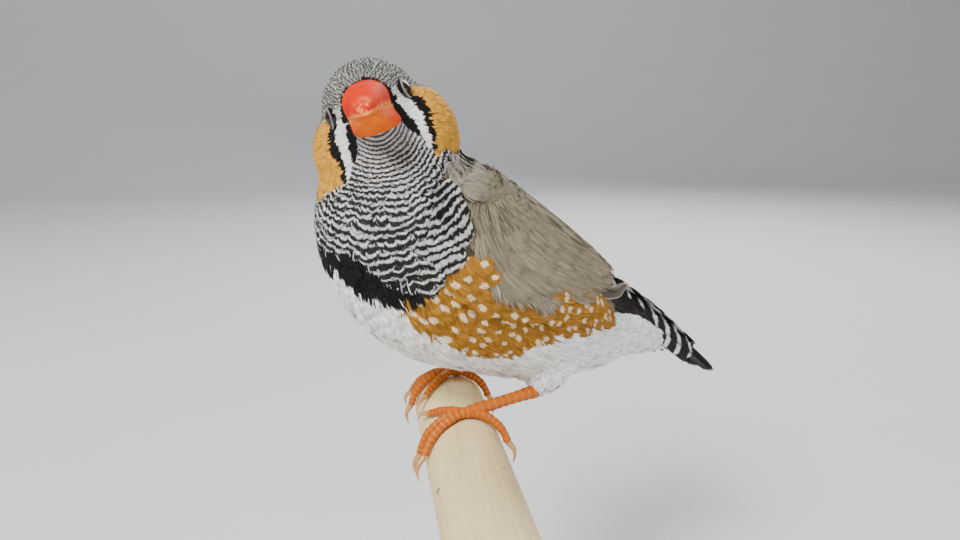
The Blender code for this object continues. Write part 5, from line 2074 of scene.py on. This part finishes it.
# %% Eyes
EYE_ROWS = 32
EYE_SIDES = 48
LID_BEADS = 22
LID_TURNS = LID_BEADS * 6
LID_SIDES = 12
LID_THICK = 0.13
LID_BEAD = 0.04
PUPIL = (0.002, 0.002, 0.002)
IRIS = (0.020, 0.007, 0.004)
EYE_RIM = (0.004, 0.003, 0.003)


def eye_material():
    made, tree, shader = new_material("wet_eye", 0.12, specular=0.3, coat=0.2)
    shader.inputs["Coat Roughness"].default_value = 0.02
    out = attribute_parts(tree, "eye_zones")[0]
    colour = add_mix(tree, add_ramp(tree, out, 0.42, 0.46), PUPIL, IRIS)
    colour = add_mix(tree, add_ramp(tree, out, 0.74, 0.86), colour, EYE_RIM)
    join(tree, colour, shader.inputs["Base Color"])
    return made


def eye(side_name, look_material, lid_material):
    centre, look, ahead, over = eye_frame(SIDES[side_name])
    angles = circle(EYE_SIDES)
    ring = np.outer(np.cos(angles), ahead) + np.outer(np.sin(angles), over)
    lifts = math.pi * np.arange(1, EYE_ROWS) / EYE_ROWS
    rows = [centre + EYE_RADIUS * (math.cos(lift) * look + math.sin(lift) * ring) for lift in lifts]
    points, faces = loft(rows)
    ball = mesh_object("eye_ball_" + side_name, world_points(head_point(points)), faces)
    zones = np.ones((len(points), 4))
    zones[:, 0] = np.repeat(np.sin(lifts), EYE_SIDES)
    colour_layer(ball.data, "eye_zones", zones)
    recalculate(ball, 180.0)
    ball.data.materials.append(look_material)
    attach(ball, "root")
    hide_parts("eye_" + side_name)
    level = centre + look * math.sqrt(EYE_RADIUS**2 - LID_RADIUS**2)
    turn = circle(LID_SIDES)
    lid_rings = []
    for i in range(LID_TURNS + 1):
        angle = FULL_TURN * i / LID_TURNS
        out = math.cos(angle) * ahead + math.sin(angle) * over
        bead = LID_THICK + LID_BEAD * abs(math.sin(LID_BEADS * angle / 2))
        section = np.outer(np.cos(turn) * 1.35, out) + np.outer(np.sin(turn), look)
        lid_rings.append(level + out * (LID_RADIUS + 0.1) + bead * section)
    points, faces = loft(lid_rings, closed_ends=False)
    lid = mesh_object("eye_lid_" + side_name, world_points(head_point(points)), faces)
    recalculate(lid, 180.0)
    lid.data.materials.append(lid_material)
    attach(lid, "root")


eye_look = eye_material()
lid_look = cloudy_material("lid_skin", (0.06, 0.055, 0.048), (0.34, 0.31, 0.27), 900.0, 0.6)[0]
for side_name in SIDES:
    eye(side_name, eye_look, lid_look)
print("eyes done")

# %% [markdown]
# Feet: each toe is wrapped in overlapping scutes, small plates like tiles. A tube is enough if its
# radius jumps at the edge of every plate, and the shader pales the joints between them.

# %% Feet and claws
FOOT_PLACES = {"left": -10.5, "right": 10.5}
TARSUS_RADIUS = 1.15
TOE_RADIUS = 1.0
# Each toe: its first and last angle round the perch, how far it runs sideways, and how thick it is
TOES = {
    "middle": (4.0, -80.0, -0.6, 1.0),
    "inner": (0.0, -44.0, 6.2, 0.92),
    "outer": (2.0, -70.0, -4.6, 0.92),
    "hind": (8.0, 73.0, -0.4, 1.0),
}
TOE_STEPS = 33
TOE_TAPER = 0.25
CLAW_LENGTH = 4.2
CLAW_STEPS = 22
CLAW_SIDES = 16
CLAW_TAPER = (0.78, 0.74, 0.62, 0.46, 0.28, 0.12)
TARSUS_SHAPE = (0.95, 1.12, 1.0, 0.95, 0.95, 1.05, 1.2)
SCUTE = 1.05
TARSUS_SCUTE = 1.5
SCALE_BROWN = (0.36, 0.058, 0.001)
SCALE_ORANGE = (0.50, 0.125, 0.003)
JOINT_PALE = (0.64, 0.25, 0.03)


def on_perch(angle, along, height):
    """A point over the round of the perch: the angle from its top, the place along it, the height."""
    reach = PERCH_RADIUS + height
    return np.array((reach * math.sin(angle), along, reach * math.cos(angle) - PERCH_RADIUS))


def toe_path(side_name, toe, steps=9):
    first, last, sideways, thick = TOES[toe]
    radius = TOE_RADIUS * thick
    path, radii = [], []
    for part in np.arange(steps) / (steps - 1):
        angle = math.radians(first + (last - first) * part)
        along = FOOT_PLACES[side_name] + SIDES[side_name] * sideways * part
        taper = 1.0 - TOE_TAPER * part
        path.append(on_perch(angle, along, GAP + radius * taper + 0.02))
        knuckle = 1.0 + 0.06 * math.cos(part * 6.0 * math.pi)
        radii.append(radius * taper * knuckle * 0.94)
    return np.array(path), np.array(radii)


def scaled_tube(path, radii, scute, sides=20):
    """A tube with plates: points, faces, and for each point how near it is to a joint of the plates."""
    reach = running_length(path)
    steps = max(12, int(reach[-1] / scute * 8))
    at = np.linspace(0.0, reach[-1], steps)
    fine = np.stack([np.interp(at, reach, path[:, k]) for k in range(3)], axis=1)
    for _ in range(3):
        fine[1:-1] = 0.25 * fine[:-2] + 0.5 * fine[1:-1] + 0.25 * fine[2:]
    phase = (at / scute) % 1.0
    plate = 1.0 + 0.14 * phase - 0.09
    rows = tube_rings(fine, np.interp(at, reach, radii) * plate, sides)
    joint = np.repeat(np.minimum(phase, 1.0 - phase) * 2.0, sides)
    points, faces = loft(rows)
    return np.array(points), faces, joint


print("toes:", list(TOES))

# %% [markdown]
# Legs are brown orange with pale joints between the plates. A foot is four toes and the leg above
# them in one mesh, and each claw is a piece of its own that bends down round the perch.

# %% Legs and claws
def scale_material():
    made, tree, shader = new_material("leg_scales", 0.5, specular=0.25)
    near_joint = attribute_parts(tree, "scale_joint")[0]
    place = object_place(tree)
    base = add_mix(tree, add_noise(tree, place, 500.0), SCALE_BROWN, SCALE_ORANGE)
    joint = add_math(tree, "SUBTRACT", 1.0, add_ramp(tree, near_joint, 0.08, 0.38))
    base = add_mix(tree, add_math(tree, "MULTIPLY", joint, 0.6), base, JOINT_PALE)
    join(tree, base, shader.inputs["Base Color"])
    bump(tree, shader, add_noise(tree, place, 2500.0), 0.3, 0.00005)
    return made


scale_look = scale_material()
claw_look = cloudy_material("claw_horn", (0.36, 0.17, 0.05), (0.56, 0.33, 0.13), 600.0, 0.35, coat=0.2)[0]


def foot(side_name):
    points, faces, joints = [], [], []

    def add(part_points, part_faces, joint):
        first = len(points)
        points.extend(part_points)
        faces.extend(tuple(first + k for k in face) for face in part_faces)
        joints.extend(joint)

    for toe in TOES:
        add(*scaled_tube(*toe_path(side_name, toe, TOE_STEPS), SCUTE))
    pad = on_perch(math.radians(4.0), FOOT_PLACES[side_name], GAP + TOE_RADIUS)
    ankle = world_points(ANKLES[side_name])[0] / MM - UP * PERCH_TOP
    path = pad + (ankle - pad) * np.linspace(-0.03, 1.0, len(TARSUS_SHAPE))[:, None]
    add(*scaled_tube(path, TARSUS_RADIUS * np.array(TARSUS_SHAPE), TARSUS_SCUTE, 24))
    obj = mesh_object("scaled_foot_" + side_name, raised(points), faces)
    marks = np.ones((len(points), 4))
    marks[:, 0] = joints
    colour_layer(obj.data, "scale_joint", marks)
    recalculate(obj, 60.0)
    obj.data.materials.append(scale_look)
    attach(obj, "root")
    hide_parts("foot_" + side_name)


def claw(side_name, toe):
    path, radii = toe_path(side_name, toe)
    end = path[-1]
    way = normalised(path[-1] - path[-2])
    outward_way = normalised(np.array((end[0], 0.0, end[2] + PERCH_RADIUS)))
    points = []
    parts = np.linspace(0.0, 1.0, CLAW_STEPS)
    for part in parts:
        bend = 0.55 * math.sin(math.pi * part) - 0.75 * part**2
        rise = 0.55 * bend * 2.0 + 0.35 * part
        points.append(end + way * (GAP + CLAW_LENGTH * part) + outward_way * rise)
    points[0] = points[0] - way * GAP
    thick = radii[-1] * np.interp(parts, np.linspace(0, 1, len(CLAW_TAPER)), CLAW_TAPER)
    made, faces = loft(tube_rings(points, thick, CLAW_SIDES))
    obj = mesh_object(f"curved_claw_{side_name}_{toe}", raised(made), faces)
    recalculate(obj)
    obj.data.materials.append(claw_look)
    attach(obj, "root")
    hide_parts(f"claw_{side_name}_{toe}")


for side_name in SIDES:
    foot(side_name)
    for toe in TOES:
        claw(side_name, toe)
print("feet done")

# %% [markdown]
# The perch is a length of pale turned dowel, with faint grain along it and a few dark specks.

# %% Perch
PERCH_EDGE = 0.5
PERCH_SIDES = 96
PERCH_STEPS = 60
WOOD_PALE = (0.84, 0.67, 0.35)
WOOD_DARK = (0.64, 0.46, 0.20)
WOOD_SPECK = (0.20, 0.13, 0.07)


def wood_group():
    """Grain along Y: a value from 0 in the pale wood to 1 in the dark lines, and scattered specks."""
    group, start, end = shader_group(
        "wood_grain", [("Place", VECTOR, None)], [("Grain", FLOAT), ("Speck", FLOAT)]
    )
    stretched = add_vector_math(group, "MULTIPLY", start.outputs["Place"], (1.0, 0.06, 1.0))
    broad = add_math(group, "MULTIPLY", add_noise(group, stretched, 160.0, 4.0), 0.6)
    fine = add_math(group, "MULTIPLY", add_noise(group, stretched, 1100.0, 3.0), 0.4)
    grain = add_math(group, "ADD", broad, fine)
    join(group, add_ramp(group, grain, 0.38, 0.68), end.inputs["Grain"])
    specks = add_noise(group, start.outputs["Place"], 420.0, 2.0)
    join(group, add_ramp(group, specks, 0.70, 0.74), end.inputs["Speck"])
    return group


def perch():
    places = [PERCH_NEAR, PERCH_NEAR + PERCH_EDGE * 0.3, PERCH_NEAR + PERCH_EDGE]
    places += list(np.linspace(PERCH_NEAR + PERCH_EDGE, PERCH_FAR - PERCH_EDGE, PERCH_STEPS))[1:-1]
    places += [PERCH_FAR - PERCH_EDGE, PERCH_FAR - PERCH_EDGE * 0.3, PERCH_FAR]
    radii = np.full(len(places), PERCH_RADIUS)
    radii[[0, -1]] -= PERCH_EDGE
    radii[[1, -2]] -= PERCH_EDGE * 0.3
    angles = circle(PERCH_SIDES)
    rows = []
    for y, r in zip(places, radii):
        x, z = r * np.cos(angles), PERCH_AXIS_HEIGHT + r * np.sin(angles)
        rows.append(np.stack([x, np.full(PERCH_SIDES, y), z], axis=1))
    points, faces = loft(rows)
    obj = mesh_object("wooden_perch", np.array(points) * MM, faces)
    recalculate(obj)
    made, tree, shader = new_material("pale_wood", 0.55)
    wood = use_group(tree, wood_group(), Place=object_place(tree))
    colour = add_mix(tree, wood.outputs["Grain"], WOOD_PALE, WOOD_DARK)
    colour = add_mix(tree, wood.outputs["Speck"], colour, WOOD_SPECK)
    join(tree, colour, shader.inputs["Base Color"])
    bump(tree, shader, wood.outputs["Grain"], 0.25, 0.00008)
    obj.data.materials.append(made)
    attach(obj, "root")
    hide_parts("perch")


perch()
print("perch runs from", PERCH_NEAR, "to", PERCH_FAR)

# %% [markdown]
# The stand below the perch is plain metal, a pair of brushed rods on a flat painted base.

# %% Stand
ROD_RADIUS = 2.5
RODS = {"stand_rod_rear": 6.0, "stand_rod_front": -50.0}
BASE_SIZE = (96.0, 112.0, 6.0)
BASE_CENTRE = (6.0, -22.0)
ROD_SIDES = 48
ROD_EDGE = 0.4


def painted(name, colour, roughness, metallic=0.0):
    darker = tuple(c * 0.9 for c in colour)
    made, tree, shader = cloudy_material(name, colour, darker, 220.0, roughness, metallic=metallic)
    bump(tree, shader, add_noise(tree, object_place(tree), 1500.0), 0.15, 0.00004)
    return made


def stand():
    rod_look = painted("brushed_rod", (0.55, 0.56, 0.57), 0.35, 1.0)
    top = PERCH_AXIS_HEIGHT - PERCH_RADIUS - GAP
    heights = (BASE_SIZE[2] + GAP, 30.0, 50.0, top - ROD_EDGE, top)
    angles = circle(ROD_SIDES)
    for name, along in RODS.items():
        rows = []
        for height in heights:
            radius = ROD_RADIUS - (ROD_EDGE if height == top else 0.0)
            x, y = radius * np.cos(angles), along + radius * np.sin(angles)
            rows.append(np.stack([x, y, np.full(ROD_SIDES, height)], axis=1))
        points, faces = loft(rows)
        obj = mesh_object(name + "_metal", np.array(points) * MM, faces)
        recalculate(obj)
        obj.data.materials.append(rod_look)
        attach(obj, "root")
        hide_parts(name)
    work = bmesh.new()
    bmesh.ops.create_cube(work, size=1.0)
    for vert in work.verts:
        vert.co = Vector((
            (vert.co.x * BASE_SIZE[0] + BASE_CENTRE[0]) * MM,
            (vert.co.y * BASE_SIZE[1] + BASE_CENTRE[1]) * MM,
            (vert.co.z + 0.5) * BASE_SIZE[2] * MM,
        ))
    bmesh.ops.bevel(work, geom=work.edges[:], offset=0.001, segments=5, profile=0.5, affect="EDGES")
    mesh = bpy.data.meshes.new("painted_base")
    work.to_mesh(mesh)
    work.free()
    base = new_object("painted_base", mesh)
    smooth_faces(mesh, 40.0)
    mesh.materials.append(painted("base_paint", (0.72, 0.70, 0.66), 0.5))
    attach(base, "root")
    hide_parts("stand_base")


stand()
print("stand done")
